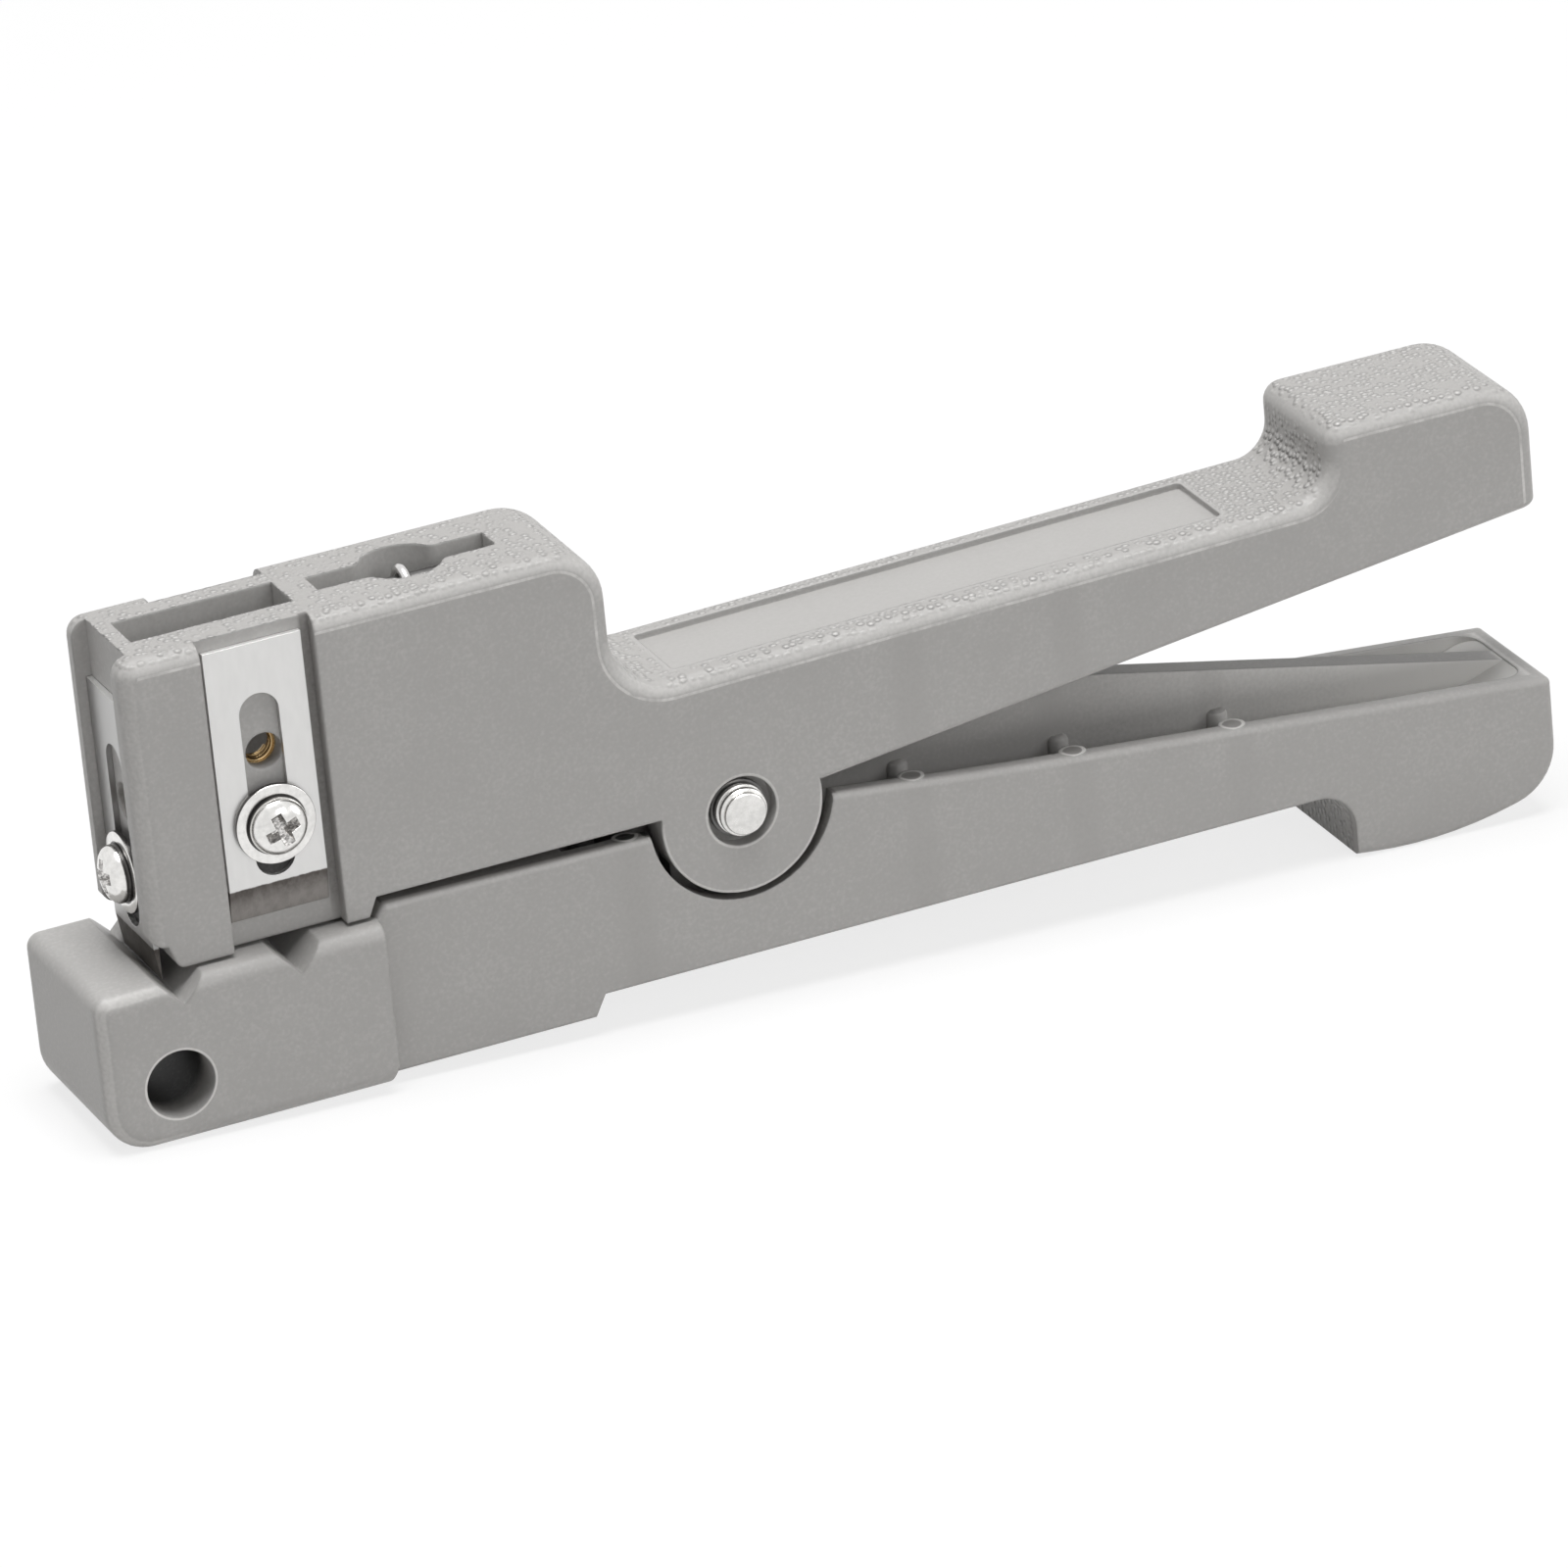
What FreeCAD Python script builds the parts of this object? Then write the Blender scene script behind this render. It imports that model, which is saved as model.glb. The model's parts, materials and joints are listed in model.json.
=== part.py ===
import FreeCAD, Part
import math
import os

# Coaxial cable stripper, in millimetres. Two moulded levers turn on a cross pin, and a draw spring
# pulls the jaws shut. A blade on the side of the head rings the jacket in one V-groove of the jaw,
# and a blade on its front slits the jacket in the other.
# X runs from the jaws to the handle ends, Y across the tool and Z up. Everything is drawn about the
# pivot, and then moved so that the origin is the bottom centre of the tool's box.

V = FreeCAD.Vector

# Levers
LEVER_WIDTH = 13.5
HANDLE_REACH = 75.25
CORNER_ROUND = 0.6

# Pivot
EAR_RADIUS = 7.3
EAR_RUNNING_GAP = 1.05
NOTCH_RISE = 0.45
KNUCKLE_WIDTH = 6.5
KNUCKLE_RADIUS = 5.6
KNUCKLE_SIDE_GAP = 0.3
TONGUE_RADIUS = 8.8
TONGUE_THICKNESS = 2.2
TONGUE_TIP_GAP = 0.5
PIVOT_PIN_DIAMETER = 4.0
PIN_END_STAND = 0.9
PIN_END_BEVEL = 0.4
PIN_RUNNING_CLEARANCE = 0.05
PIN_SEAT_CLEARANCE = 0.02
COUNTERBORE_DIAMETER = 6.2
COUNTERBORE_DEPTH = 1.4
PIN_RING_DIAMETER = 5.0
PIN_RING_THICKNESS = 0.5
PIN_RING_CLEARANCE = 0.03

# Jaw block and its grooves
JAW_WIDTH = 17.1
JAW_TOP_DROP = 0.98
JAW_HEIGHT = 14.3
JAW_LIP = 7.7
JAW_HEEL = 7.55
JAW_TOE_RADIUS = 3.9
JAW_EDGE_ROUND = 1.3
HEEL_CHAMFER_LENGTH = 0.85
HEEL_CHAMFER_HEIGHT = 1.75
RING_GROOVE_REACH = 40.7
GROOVE_SPACING = 10.4
GROOVE_WIDTH = 4.1
GROOVE_DEPTH = 2.1
HANG_HOLE_DIAMETER = 6.0
HANG_HOLE_SETBACK = 6.55
HANG_HOLE_DROP = 9.0

# Lower lever
LOWER_SHOULDER_RISE = 0.2
LOWER_SHOULDER_RUN = 0.8
LOWER_SHOULDER_ROUND = 0.4
JAW_ROOT = 2.0
LOWER_CREST_DROP = 0.35
NOTCH_BACK_DROP = 0.7
LOWER_MIDDLE_REACH = 24.0
LOWER_MIDDLE_DROP = 2.6
LOWER_END_DROP = 7.65
LOWER_CREST_ROUND = 500.0
LOWER_BELLY_DROP = 13.1
LOWER_BELLY_STEP = 1.85
BELLY_STEP_REACH = 14.8
BELLY_STEP_RUN = 1.0
HOOK_LENGTH = 19.35
HOOK_FILLET = 3.4
HOOK_TOE_DROP = 19.25
HOOK_BOTTOM_SETBACK = 10.85
HOOK_BOTTOM_DROP = 20.29
HOOK_BOTTOM_ROUND = 37.0
HOOK_END_DROP = 17.6
HOOK_END_ROUND = 5.0
HOOK_POCKET_DROP = 15.1
LOWER_WALL = 1.5
LOWER_FLOOR = 2.0
LOWER_END_WALL = 1.7
CHANNEL_START_REACH = 15.8
TONGUE_TAPER_DEG = 12.7
EJECTOR_BOSS_RADIUS = 1.15
EJECTOR_BOSS_FIRST = 16.0
EJECTOR_BOSS_SPACING = 14.85
EJECTOR_BOSS_COUNT = 3
FRONT_EJECTOR_REACH = 10.1

# Upper lever
JAW_CLOSED_GAP = 0.35
HEAD_TOP = 26.8
HEAD_BACK_REACH = 9.9
HEAD_BACK_ROUND = 5.0
HEAD_BACK_FILLET = 5.0
HEAD_FRONT_ROUND = 1.6
HEAD_TOE_HEIGHT = 2.1
HEAD_TOE_LENGTH = 1.4
HEAD_TOE_ROUND = 1.1
HEAD_TOE_SLOPE = 0.7
HEAD_TOE_BEND = 0.8
HEAD_HEEL_LENGTH = 2.0
HEAD_HEEL_RUN = 0.75
HEAD_BELLY = 1.05
TOP_EDGE_ROUND = 1.5
HANDLE_TOP_AT_PIVOT = 13.05
HANDLE_TOP_AT_GRIP = 14.1
GRIP_LENGTH = 19.35
GRIP_TOP = 20.3
GRIP_FILLET = 3.0
GRIP_FRONT_ROUND = 1.7
GRIP_END_ROUND = 5.0
UPPER_EDGE_REACH = 7.3
UPPER_EDGE_RISE = 0.77
UPPER_EDGE_END_RISE = 8.55
UPPER_WALL = 2.2
UPPER_ROOF = 2.4
UPPER_END_WALL = 2.4
UPPER_INNER_ROUND = 1.0
UPPER_EAR_BACK_REACH = 8.8
PANEL_START_GAP = 6.0
PANEL_END_GAP = 9.1
PANEL_WIDTH = 8.3
PANEL_DEPTH = 0.5
PANEL_CORNER = 0.4

# Blade pockets and core of the head
POCKET_DEPTH = 1.4
FAR_POCKET_DEPTH = 2.3
SIDE_POCKET_WIDTH = 10.0
FRONT_POCKET_SIDE_CLEARANCE = 0.1
FRONT_BLADE_OFFSET = 0.2
FRONT_WALL = 1.4
FRONT_BOSS_WALL = 3.0
FRONT_BOSS_TOP = 15.5
SIDE_WALL = 3.0
CORE_FLOOR = 2.6
CROSS_WALL = 2.6

# Blades and their screws
BLADE_WIDTH = 8.65
BLADE_LENGTH = 24.2
BLADE_THICKNESS = 0.5
BLADE_BEVEL = 3.0
BLADE_EDGE_LAND = 0.06
BLADE_SLOT_WIDTH = 3.5
BLADE_SLOT_LENGTH = 16.3
BLADE_SLOT_FROM_EDGE = 3.4
BLADE_CLEARANCE = 0.03
SIDE_BLADE_SHIFT = 0.2
SIDE_BLADE_EDGE = 1.5
FRONT_EDGE_CLEARANCE = 0.65
SIDE_SCREW_HEIGHT = 9.6
FRONT_SCREW_HEIGHT = 5.9
INSERT_SPACING = 6.2
WASHER_DIAMETER = 7.0
WASHER_BORE = 3.2
WASHER_THICKNESS = 0.5
SCREW_DIAMETER = 2.9
SCREW_LENGTH = 4.2
SCREW_HEAD_DIAMETER = 5.0
SCREW_HEAD_HEIGHT = 1.7
SCREW_HEAD_RIM = 0.75
SCREW_CROWN_DIAMETER = 3.2
RECESS_SPAN = 2.4
RECESS_WIDTH = 0.75
RECESS_DEPTH = 1.0
SCREW_HOLE_DIAMETER = 3.2
INSERT_DIAMETER = 4.2
INSERT_BORE = 3.0
INSERT_LENGTH = 1.5
INSERT_CLEARANCE = 0.02

# Spring and the pins that its hooks hold
WELL_DIAMETER = 7.1
WELL_MOUTH_FILLET = 1.0
PIN_SLOT_LENGTH = 15.8
PIN_SLOT_WIDTH = 3.0
PIN_SLOT_DEPTH = 3.3
SPRING_PIN_DIAMETER = 2.0
SPRING_PIN_END_GAP = 0.7
SPRING_PIN_CLEARANCE = 0.02
SPRING_DIAMETER = 5.9
SPRING_WIRE = 0.9
SPRING_TURNS = 15
SPRING_HOOK_LENGTH = 3.2
SPRING_HOOK_CLEARANCE = 0.06
SPRING_STEPS_PER_TURN = 8
SPRING_HOOK_STEPS = 6
SPRING_WIRE_SIDES = 5

# Places worked out from the sizes above
ROOTED = 0.5
PAST = 1.0
NEAR = 0.01
TOUCHING = 1e-6
HALF_WIDTH = LEVER_WIDTH / 2
RING_GROOVE_X = -RING_GROOVE_REACH
SLIT_GROOVE_X = RING_GROOVE_X - GROOVE_SPACING
JAW_TOP = -JAW_TOP_DROP
JAW_BOTTOM = JAW_TOP - JAW_HEIGHT
JAW_FRONT = SLIT_GROOVE_X - JAW_LIP
JAW_BACK = RING_GROOVE_X + JAW_HEEL
FRONT_POCKET_X = SLIT_GROOVE_X - FRONT_BLADE_OFFSET
HEAD_FRONT = FRONT_POCKET_X - POCKET_DEPTH
SIDE_POCKET_Y = HALF_WIDTH - POCKET_DEPTH
FAR_POCKET_Y = HALF_WIDTH - FAR_POCKET_DEPTH
CORE_WIDTH = 2 * (SIDE_POCKET_Y - SIDE_WALL)
FRONT_POCKET_WIDTH = BLADE_WIDTH + 2 * FRONT_POCKET_SIDE_CLEARANCE
CORE_FRONT = FRONT_POCKET_X + FRONT_WALL
CORE_BACK = RING_GROOVE_X + SIDE_POCKET_WIDTH / 2
WELL_X = CORE_BACK + CROSS_WALL + PIN_SLOT_LENGTH / 2
HEAD_FOOT = JAW_TOP + JAW_CLOSED_GAP
HOOK_FRONT = HANDLE_REACH - HOOK_LENGTH
GRIP_FRONT = HANDLE_REACH - GRIP_LENGTH
PANEL_START = PANEL_START_GAP - HEAD_BACK_REACH
PANEL_END = GRIP_FRONT - PANEL_END_GAP
SLIT_EDGE_Z = JAW_TOP - GROOVE_DEPTH + FRONT_EDGE_CLEARANCE
LOWER_BELLY = -LOWER_BELLY_DROP
LOWER_FRONT_BELLY = LOWER_BELLY - LOWER_BELLY_STEP
CHANNEL_FLOOR = LOWER_BELLY + LOWER_FLOOR
NOTCH_RADIUS = EAR_RADIUS + EAR_RUNNING_GAP
SLOT_WIDTH_AT_PIVOT = KNUCKLE_WIDTH + 2 * KNUCKLE_SIDE_GAP
CAVITY_RADIUS = TONGUE_RADIUS + TONGUE_TIP_GAP
HANDLE_TOP_SLOPE = (HANDLE_TOP_AT_GRIP - HANDLE_TOP_AT_PIVOT) / GRIP_FRONT
LOWER_PIN_SLOT_TOP = LOWER_FRONT_BELLY + PIN_SLOT_DEPTH
UPPER_PIN_SLOT_FLOOR = HEAD_TOP - PIN_SLOT_DEPTH
SPRING_PIN_SEAT = SPRING_PIN_DIAMETER / 2 + SPRING_PIN_CLEARANCE
LOWER_PIN_Z = LOWER_PIN_SLOT_TOP - SPRING_PIN_SEAT
UPPER_PIN_Z = UPPER_PIN_SLOT_FLOOR + SPRING_PIN_SEAT


def bend_angles(points):
    """Half the angle between the two runs that meet at each point of a closed outline."""
    angles = []
    for index, point in enumerate(points):
        before = points[index - 1] - point
        after = points[(index + 1) % len(points)] - point
        angles.append(before.getAngle(after) / 2)
    return angles


def fitted_setbacks(points, wanted):
    """How far each bend starts from its corner, cut down where two bends meet on a run too short for them."""
    setbacks = list(wanted)
    for index, point in enumerate(points):
        following = (index + 1) % len(points)
        run = point.distanceToPoint(points[following])
        taken = wanted[index] + wanted[following]
        if taken > run:
            setbacks[index] = min(setbacks[index], wanted[index] * run / taken)
            setbacks[following] = min(setbacks[following], wanted[following] * run / taken)
    return setbacks


def rounded_wire(corners):
    """Closed wire in the XZ plane through (x, z, radius) corners; radius 0 leaves a corner sharp."""
    points = [V(x, 0, z) for x, z, radius in corners]
    half_angles = bend_angles(points)
    wanted = [radius / math.tan(angle) for (x, z, radius), angle in zip(corners, half_angles)]
    setbacks = fitted_setbacks(points, wanted)
    bends = []
    for index, corner in enumerate(points):
        back = (points[index - 1] - corner).normalize()
        ahead = (points[(index + 1) % len(points)] - corner).normalize()
        setback = setbacks[index]
        middle = None
        if setback > 0:
            angle = half_angles[index]
            depth = setback / math.cos(angle) - setback * math.tan(angle)
            middle = corner + (back + ahead).normalize() * depth
        bends.append((corner + back * setback, middle, corner + ahead * setback))
    edges = []
    for index, (start, middle, end) in enumerate(bends):
        if middle is not None:
            edges.append(Part.Arc(start, middle, end).toShape())
        following = bends[(index + 1) % len(bends)][0]
        if end.distanceToPoint(following) > TOUCHING:
            edges.append(Part.LineSegment(end, following).toShape())
    return Part.Wire(edges)


def slab(corners, width, middle_y=0.0):
    """Solid with an XZ outline, extruded across the tool and centred on middle_y."""
    face = Part.Face(rounded_wire(corners))
    face.translate(V(0, middle_y - width / 2, 0))
    return face.extrude(V(0, width, 0))


def block(x0, x1, y0, y1, z0, z1):
    return Part.makeBox(x1 - x0, y1 - y0, z1 - z0, V(x0, y0, z0))


def rod(start, end, diameter):
    """Round bar between two points."""
    along = end - start
    return Part.makeCylinder(diameter / 2, along.Length, start, along)


def cross_rod(x, z, diameter, width):
    """Round bar across the tool, centred on its middle plane."""
    return rod(V(x, -width / 2, z), V(x, width / 2, z), diameter)


def mirrored(shape):
    """The same shape on the far side of the tool."""
    return shape.mirror(V(0, 0, 0), V(0, 1, 0))


def seated(shape, place, axis):
    """Turn a shape drawn along +Z so that it points along axis, and move its origin to place."""
    turned = shape.copy()
    turned.Placement = FreeCAD.Placement(place, FreeCAD.Rotation(V(0, 0, 1), axis))
    return turned


def turned_profile(points):
    """Solid of revolution about Z from (radius, z) points."""
    corners = [V(radius, 0, z) for radius, z in points]
    face = Part.Face(Part.makePolygon(corners + corners[:1]))
    return face.revolve(V(0, 0, 0), V(0, 0, 1), 360)


def round_edges(shape, radius, wanted):
    """Fillet the edges for which wanted(middle point, edge) is true."""
    chosen = []
    for edge in shape.Edges:
        first, last = edge.ParameterRange
        middle = edge.valueAt((first + last) / 2)
        if wanted(middle, edge):
            chosen.append(edge)
    return shape.makeFillet(radius, chosen)


def lies_in_side(edge, half_width):
    """True for an edge in one of the two side planes of a slab."""
    box = edge.BoundBox
    return box.YLength < NEAR and abs(abs(edge.Vertexes[0].Y) - half_width) < NEAR


def handle_top(x):
    return HANDLE_TOP_AT_PIVOT + HANDLE_TOP_SLOPE * x


def upper_edge(x):
    """Height of the upper handle's lower edge."""
    slope = (UPPER_EDGE_END_RISE - UPPER_EDGE_RISE) / (HANDLE_REACH - UPPER_EDGE_REACH)
    return UPPER_EDGE_RISE + slope * (x - UPPER_EDGE_REACH)


def lower_crest(x):
    """Height of the lower handle's top edge, taken along its straight rear stretch or front stretch."""
    if x < LOWER_MIDDLE_REACH:
        slope = (LOWER_MIDDLE_DROP - NOTCH_BACK_DROP) / (LOWER_MIDDLE_REACH - NOTCH_RADIUS)
    else:
        slope = (LOWER_END_DROP - LOWER_MIDDLE_DROP) / (HANDLE_REACH - LOWER_MIDDLE_REACH)
    return -LOWER_MIDDLE_DROP - slope * (x - LOWER_MIDDLE_REACH)


def jaw_block():
    """Wide block at the front of the lower lever, with two cable grooves and a cross hole."""
    outline = [
        (JAW_FRONT, JAW_TOP, JAW_EDGE_ROUND),
        (JAW_BACK, JAW_TOP, 0),
        (JAW_BACK, JAW_BOTTOM + HEEL_CHAMFER_HEIGHT, 0),
        (JAW_BACK - HEEL_CHAMFER_LENGTH, JAW_BOTTOM, 0),
        (JAW_FRONT, JAW_BOTTOM, JAW_TOE_RADIUS),
    ]
    jaw = slab(outline, JAW_WIDTH)
    jaw = round_edges(
        jaw,
        JAW_EDGE_ROUND,
        lambda middle, edge: lies_in_side(edge, JAW_WIDTH / 2) and middle.x < JAW_FRONT + NEAR,
    )
    for groove_x in (RING_GROOVE_X, SLIT_GROOVE_X):
        above = GROOVE_WIDTH / 2 * (1 + PAST / GROOVE_DEPTH)
        groove = [
            (groove_x - above, JAW_TOP + PAST, 0),
            (groove_x, JAW_TOP - GROOVE_DEPTH, 0),
            (groove_x + above, JAW_TOP + PAST, 0),
        ]
        jaw = jaw.cut(slab(groove, JAW_WIDTH + 2 * PAST))
    hole_x = JAW_FRONT + HANG_HOLE_SETBACK
    return jaw.cut(cross_rod(hole_x, JAW_TOP - HANG_HOLE_DROP, HANG_HOLE_DIAMETER, JAW_WIDTH + 2 * PAST))


def lower_beam():
    """Outer form of the lower lever behind the jaw block, down to its finger hook."""
    inside_jaw = JAW_BACK - JAW_ROOT
    outline = [
        (inside_jaw, JAW_TOP, 0),
        (JAW_BACK, JAW_TOP, 0),
        (JAW_BACK + LOWER_SHOULDER_RUN, LOWER_SHOULDER_RISE, LOWER_SHOULDER_ROUND),
        (0, -LOWER_CREST_DROP, 0),
        (NOTCH_RADIUS, lower_crest(NOTCH_RADIUS), 0),
        (LOWER_MIDDLE_REACH, -LOWER_MIDDLE_DROP, LOWER_CREST_ROUND),
        (HANDLE_REACH, -LOWER_END_DROP, CORNER_ROUND),
        (HANDLE_REACH, -HOOK_END_DROP, HOOK_END_ROUND),
        (HANDLE_REACH - HOOK_BOTTOM_SETBACK, -HOOK_BOTTOM_DROP, HOOK_BOTTOM_ROUND),
        (HOOK_FRONT, -HOOK_TOE_DROP, 0),
        (HOOK_FRONT, LOWER_BELLY, HOOK_FILLET),
        (-BELLY_STEP_REACH + BELLY_STEP_RUN, LOWER_BELLY, 0),
        (-BELLY_STEP_REACH, LOWER_FRONT_BELLY, 0),
        (inside_jaw, LOWER_FRONT_BELLY, 0),
    ]
    beam = slab(outline, LEVER_WIDTH)
    return round_edges(
        beam,
        CORNER_ROUND,
        lambda middle, edge: lies_in_side(edge, HALF_WIDTH) and middle.x > NOTCH_RADIUS
        and middle.z > -LOWER_END_DROP - CORNER_ROUND,
    )


def lower_channel():
    """Open trough between the lower handle's side walls, deeper where the hook is thick."""
    y = HALF_WIDTH - LOWER_WALL
    end = HANDLE_REACH - LOWER_END_WALL
    hook_front = HOOK_FRONT + LOWER_FLOOR
    above = EAR_RADIUS
    trough = block(-CHANNEL_START_REACH, end, -y, y, CHANNEL_FLOOR, above)
    well = block(hook_front, end, -y, y, -HOOK_POCKET_DROP, CHANNEL_FLOOR)
    trough = trough.fuse(well).removeSplitter()
    return round_edges(
        trough,
        (y - TONGUE_THICKNESS / 2) / 2 - NEAR,
        lambda middle, edge: abs(middle.x - end) < NEAR and edge.BoundBox.ZLength > PAST,
    )


def tongue():
    """Middle web of the lower lever: a disc about the pivot with a fin that falls to the end wall."""
    taper = math.radians(TONGUE_TAPER_DEG)
    tangent_x = TONGUE_RADIUS * math.sin(taper)
    tangent_z = TONGUE_RADIUS * math.cos(taper)
    fin_end = HANDLE_REACH - LOWER_END_WALL + ROOTED
    fin_end_z = tangent_z - math.tan(taper) * (fin_end - tangent_x)
    web = [
        (tangent_x, tangent_z, 0),
        (fin_end, fin_end_z, 0),
        (fin_end, -HOOK_POCKET_DROP - ROOTED, 0),
        (HOOK_FRONT + LOWER_FLOOR, -HOOK_POCKET_DROP - ROOTED, 0),
        (HOOK_FRONT + LOWER_FLOOR, CHANNEL_FLOOR - ROOTED, 0),
        (-TONGUE_RADIUS * math.cos(taper), CHANNEL_FLOOR - ROOTED, 0),
        (-TONGUE_RADIUS * math.cos(taper), 0, 0),
    ]
    disc = cross_rod(0, 0, 2 * TONGUE_RADIUS, TONGUE_THICKNESS)
    knuckle = cross_rod(0, 0, 2 * KNUCKLE_RADIUS, KNUCKLE_WIDTH)
    saddle = block(
        -KNUCKLE_RADIUS, KNUCKLE_RADIUS,
        -KNUCKLE_WIDTH / 2, KNUCKLE_WIDTH / 2,
        CHANNEL_FLOOR - ROOTED, 0,
    )
    fin = slab(web, TONGUE_THICKNESS).cut(outside_disc())
    return fin.fuse([disc, knuckle, saddle])


def outside_disc():
    """What a web's square front corner has outside the tongue's round front, above the floor."""
    corner = block(-2 * TONGUE_RADIUS, 0, -HALF_WIDTH, HALF_WIDTH, 0, 2 * TONGUE_RADIUS)
    return corner.cut(cross_rod(0, 0, 2 * TONGUE_RADIUS, 2 * LEVER_WIDTH))


def ejector_bosses():
    """Half-round posts on the inside of both side walls, level with the top edge."""
    places = [-FRONT_EJECTOR_REACH]
    for index in range(EJECTOR_BOSS_COUNT):
        places.append(EJECTOR_BOSS_FIRST + index * EJECTOR_BOSS_SPACING)
    posts = []
    for x in places:
        top = lower_crest(x) if x > 0 else -LOWER_CREST_DROP
        y = HALF_WIDTH - LOWER_WALL
        post = rod(V(x, -y, CHANNEL_FLOOR - ROOTED), V(x, -y, top), 2 * EJECTOR_BOSS_RADIUS)
        posts.extend([post, mirrored(post)])
    return posts


def spring_well(z0, z1, slot_z0, slot_z1):
    """Round well for the coil, with a slot across its mouth for the cross pin."""
    well = rod(V(WELL_X, 0, z0), V(WELL_X, 0, z1), WELL_DIAMETER)
    slot = block(
        WELL_X - PIN_SLOT_LENGTH / 2, WELL_X + PIN_SLOT_LENGTH / 2,
        -PIN_SLOT_WIDTH / 2, PIN_SLOT_WIDTH / 2,
        slot_z0, slot_z1,
    )
    mouth = rod(V(WELL_X, 0, slot_z0), V(WELL_X, 0, slot_z1), WELL_DIAMETER).fuse(slot).removeSplitter()
    mouth = round_edges(
        mouth,
        WELL_MOUTH_FILLET,
        lambda middle, edge: abs(abs(middle.y) - PIN_SLOT_WIDTH / 2) < NEAR
        and edge.BoundBox.ZLength > PAST
        and abs(middle.x - WELL_X) < WELL_DIAMETER / 2,
    )
    return well.fuse(mouth)


def make_lower_lever():
    notch = cross_rod(0, NOTCH_RISE, 2 * NOTCH_RADIUS, LEVER_WIDTH + 2 * PAST)
    beam = lower_beam().cut(lower_channel())
    beam = beam.fuse(ejector_bosses())
    beam = beam.cut(notch)
    lever = beam.fuse([jaw_block(), tongue()])
    lever = lever.cut(spring_well(
        LOWER_FRONT_BELLY - PAST, LOWER_SHOULDER_RISE + PAST,
        LOWER_FRONT_BELLY - PAST, LOWER_PIN_SLOT_TOP,
    ))
    bore = PIVOT_PIN_DIAMETER + 2 * PIN_SEAT_CLEARANCE
    lever = lever.cut(cross_rod(0, 0, bore, LEVER_WIDTH))
    return lever.removeSplitter()


def upper_form():
    """Outer form of the upper lever: the blade head, the slim handle and its raised grip."""
    toe = HEAD_FOOT + HEAD_TOE_HEIGHT
    heel_x = CORE_BACK + HEAD_HEEL_LENGTH
    outline = [
        (HEAD_FRONT, toe, 0),
        (HEAD_FRONT, HEAD_TOP, HEAD_FRONT_ROUND),
        (-HEAD_BACK_REACH, HEAD_TOP, HEAD_BACK_ROUND),
        (-HEAD_BACK_REACH, handle_top(-HEAD_BACK_REACH), HEAD_BACK_FILLET),
        (GRIP_FRONT, handle_top(GRIP_FRONT), GRIP_FILLET),
        (GRIP_FRONT, GRIP_TOP, GRIP_FRONT_ROUND),
        (HANDLE_REACH, GRIP_TOP, GRIP_END_ROUND),
        (HANDLE_REACH, UPPER_EDGE_END_RISE, 0),
        (UPPER_EDGE_REACH, UPPER_EDGE_RISE, 0),
        (-UPPER_EDGE_REACH, HEAD_BELLY, 0),
        (heel_x + HEAD_HEEL_RUN, HEAD_BELLY, 0),
        (heel_x, HEAD_FOOT, 0),
        (HEAD_FRONT + HEAD_TOE_LENGTH + HEAD_TOE_SLOPE, HEAD_FOOT, HEAD_TOE_BEND),
        (HEAD_FRONT + HEAD_TOE_LENGTH, toe, 0),
    ]
    form = slab(outline, LEVER_WIDTH)
    form = round_edges(
        form,
        TOP_EDGE_ROUND,
        lambda middle, edge: lies_in_side(edge, HALF_WIDTH) and is_upper_outline(middle),
    )
    form = round_edges(
        form,
        CORNER_ROUND,
        lambda middle, edge: abs(middle.y) < NEAR and abs(middle.x - HANDLE_REACH) < NEAR
        and abs(middle.z - UPPER_EDGE_END_RISE) < NEAR,
    )
    ears = cross_rod(0, 0, 2 * EAR_RADIUS, LEVER_WIDTH)
    return form.fuse(ears).cut(toe_offcut(toe))


def toe_offcut(toe):
    """What rounding takes off the front lower corner of the head."""
    radius = HEAD_TOE_ROUND
    corner = block(
        HEAD_FRONT - PAST, HEAD_FRONT + radius,
        -HALF_WIDTH - PAST, HALF_WIDTH + PAST,
        toe - PAST, toe + radius,
    )
    return corner.cut(cross_rod(HEAD_FRONT + radius, toe + radius, 2 * radius, LEVER_WIDTH + 4 * PAST))


def is_upper_outline(point):
    """True on the outline's front, top and end, and false along its underside."""
    if point.x < HEAD_FRONT + HEAD_FRONT_ROUND and point.z > HEAD_FOOT + HEAD_TOE_HEIGHT + 1:
        return True
    if point.x > HANDLE_REACH - NEAR:
        return point.z > UPPER_EDGE_END_RISE + 1
    if point.x > 0:
        return point.z > upper_edge(point.x) + 3
    return point.z > HEAD_BELLY + 6


def pivot_cavity():
    """Room for the knuckle and tongue between the ears, open below."""
    disc = cross_rod(0, 0, 2 * CAVITY_RADIUS, SLOT_WIDTH_AT_PIVOT)
    roof = handle_top(0) - UPPER_ROOF
    behind = [
        (0, CAVITY_RADIUS, 0),
        (UPPER_EAR_BACK_REACH + PAST, roof, 0),
        (UPPER_EAR_BACK_REACH + PAST, -CAVITY_RADIUS, 0),
        (0, -CAVITY_RADIUS, 0),
    ]
    return disc.fuse(slab(behind, SLOT_WIDTH_AT_PIVOT))


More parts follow.
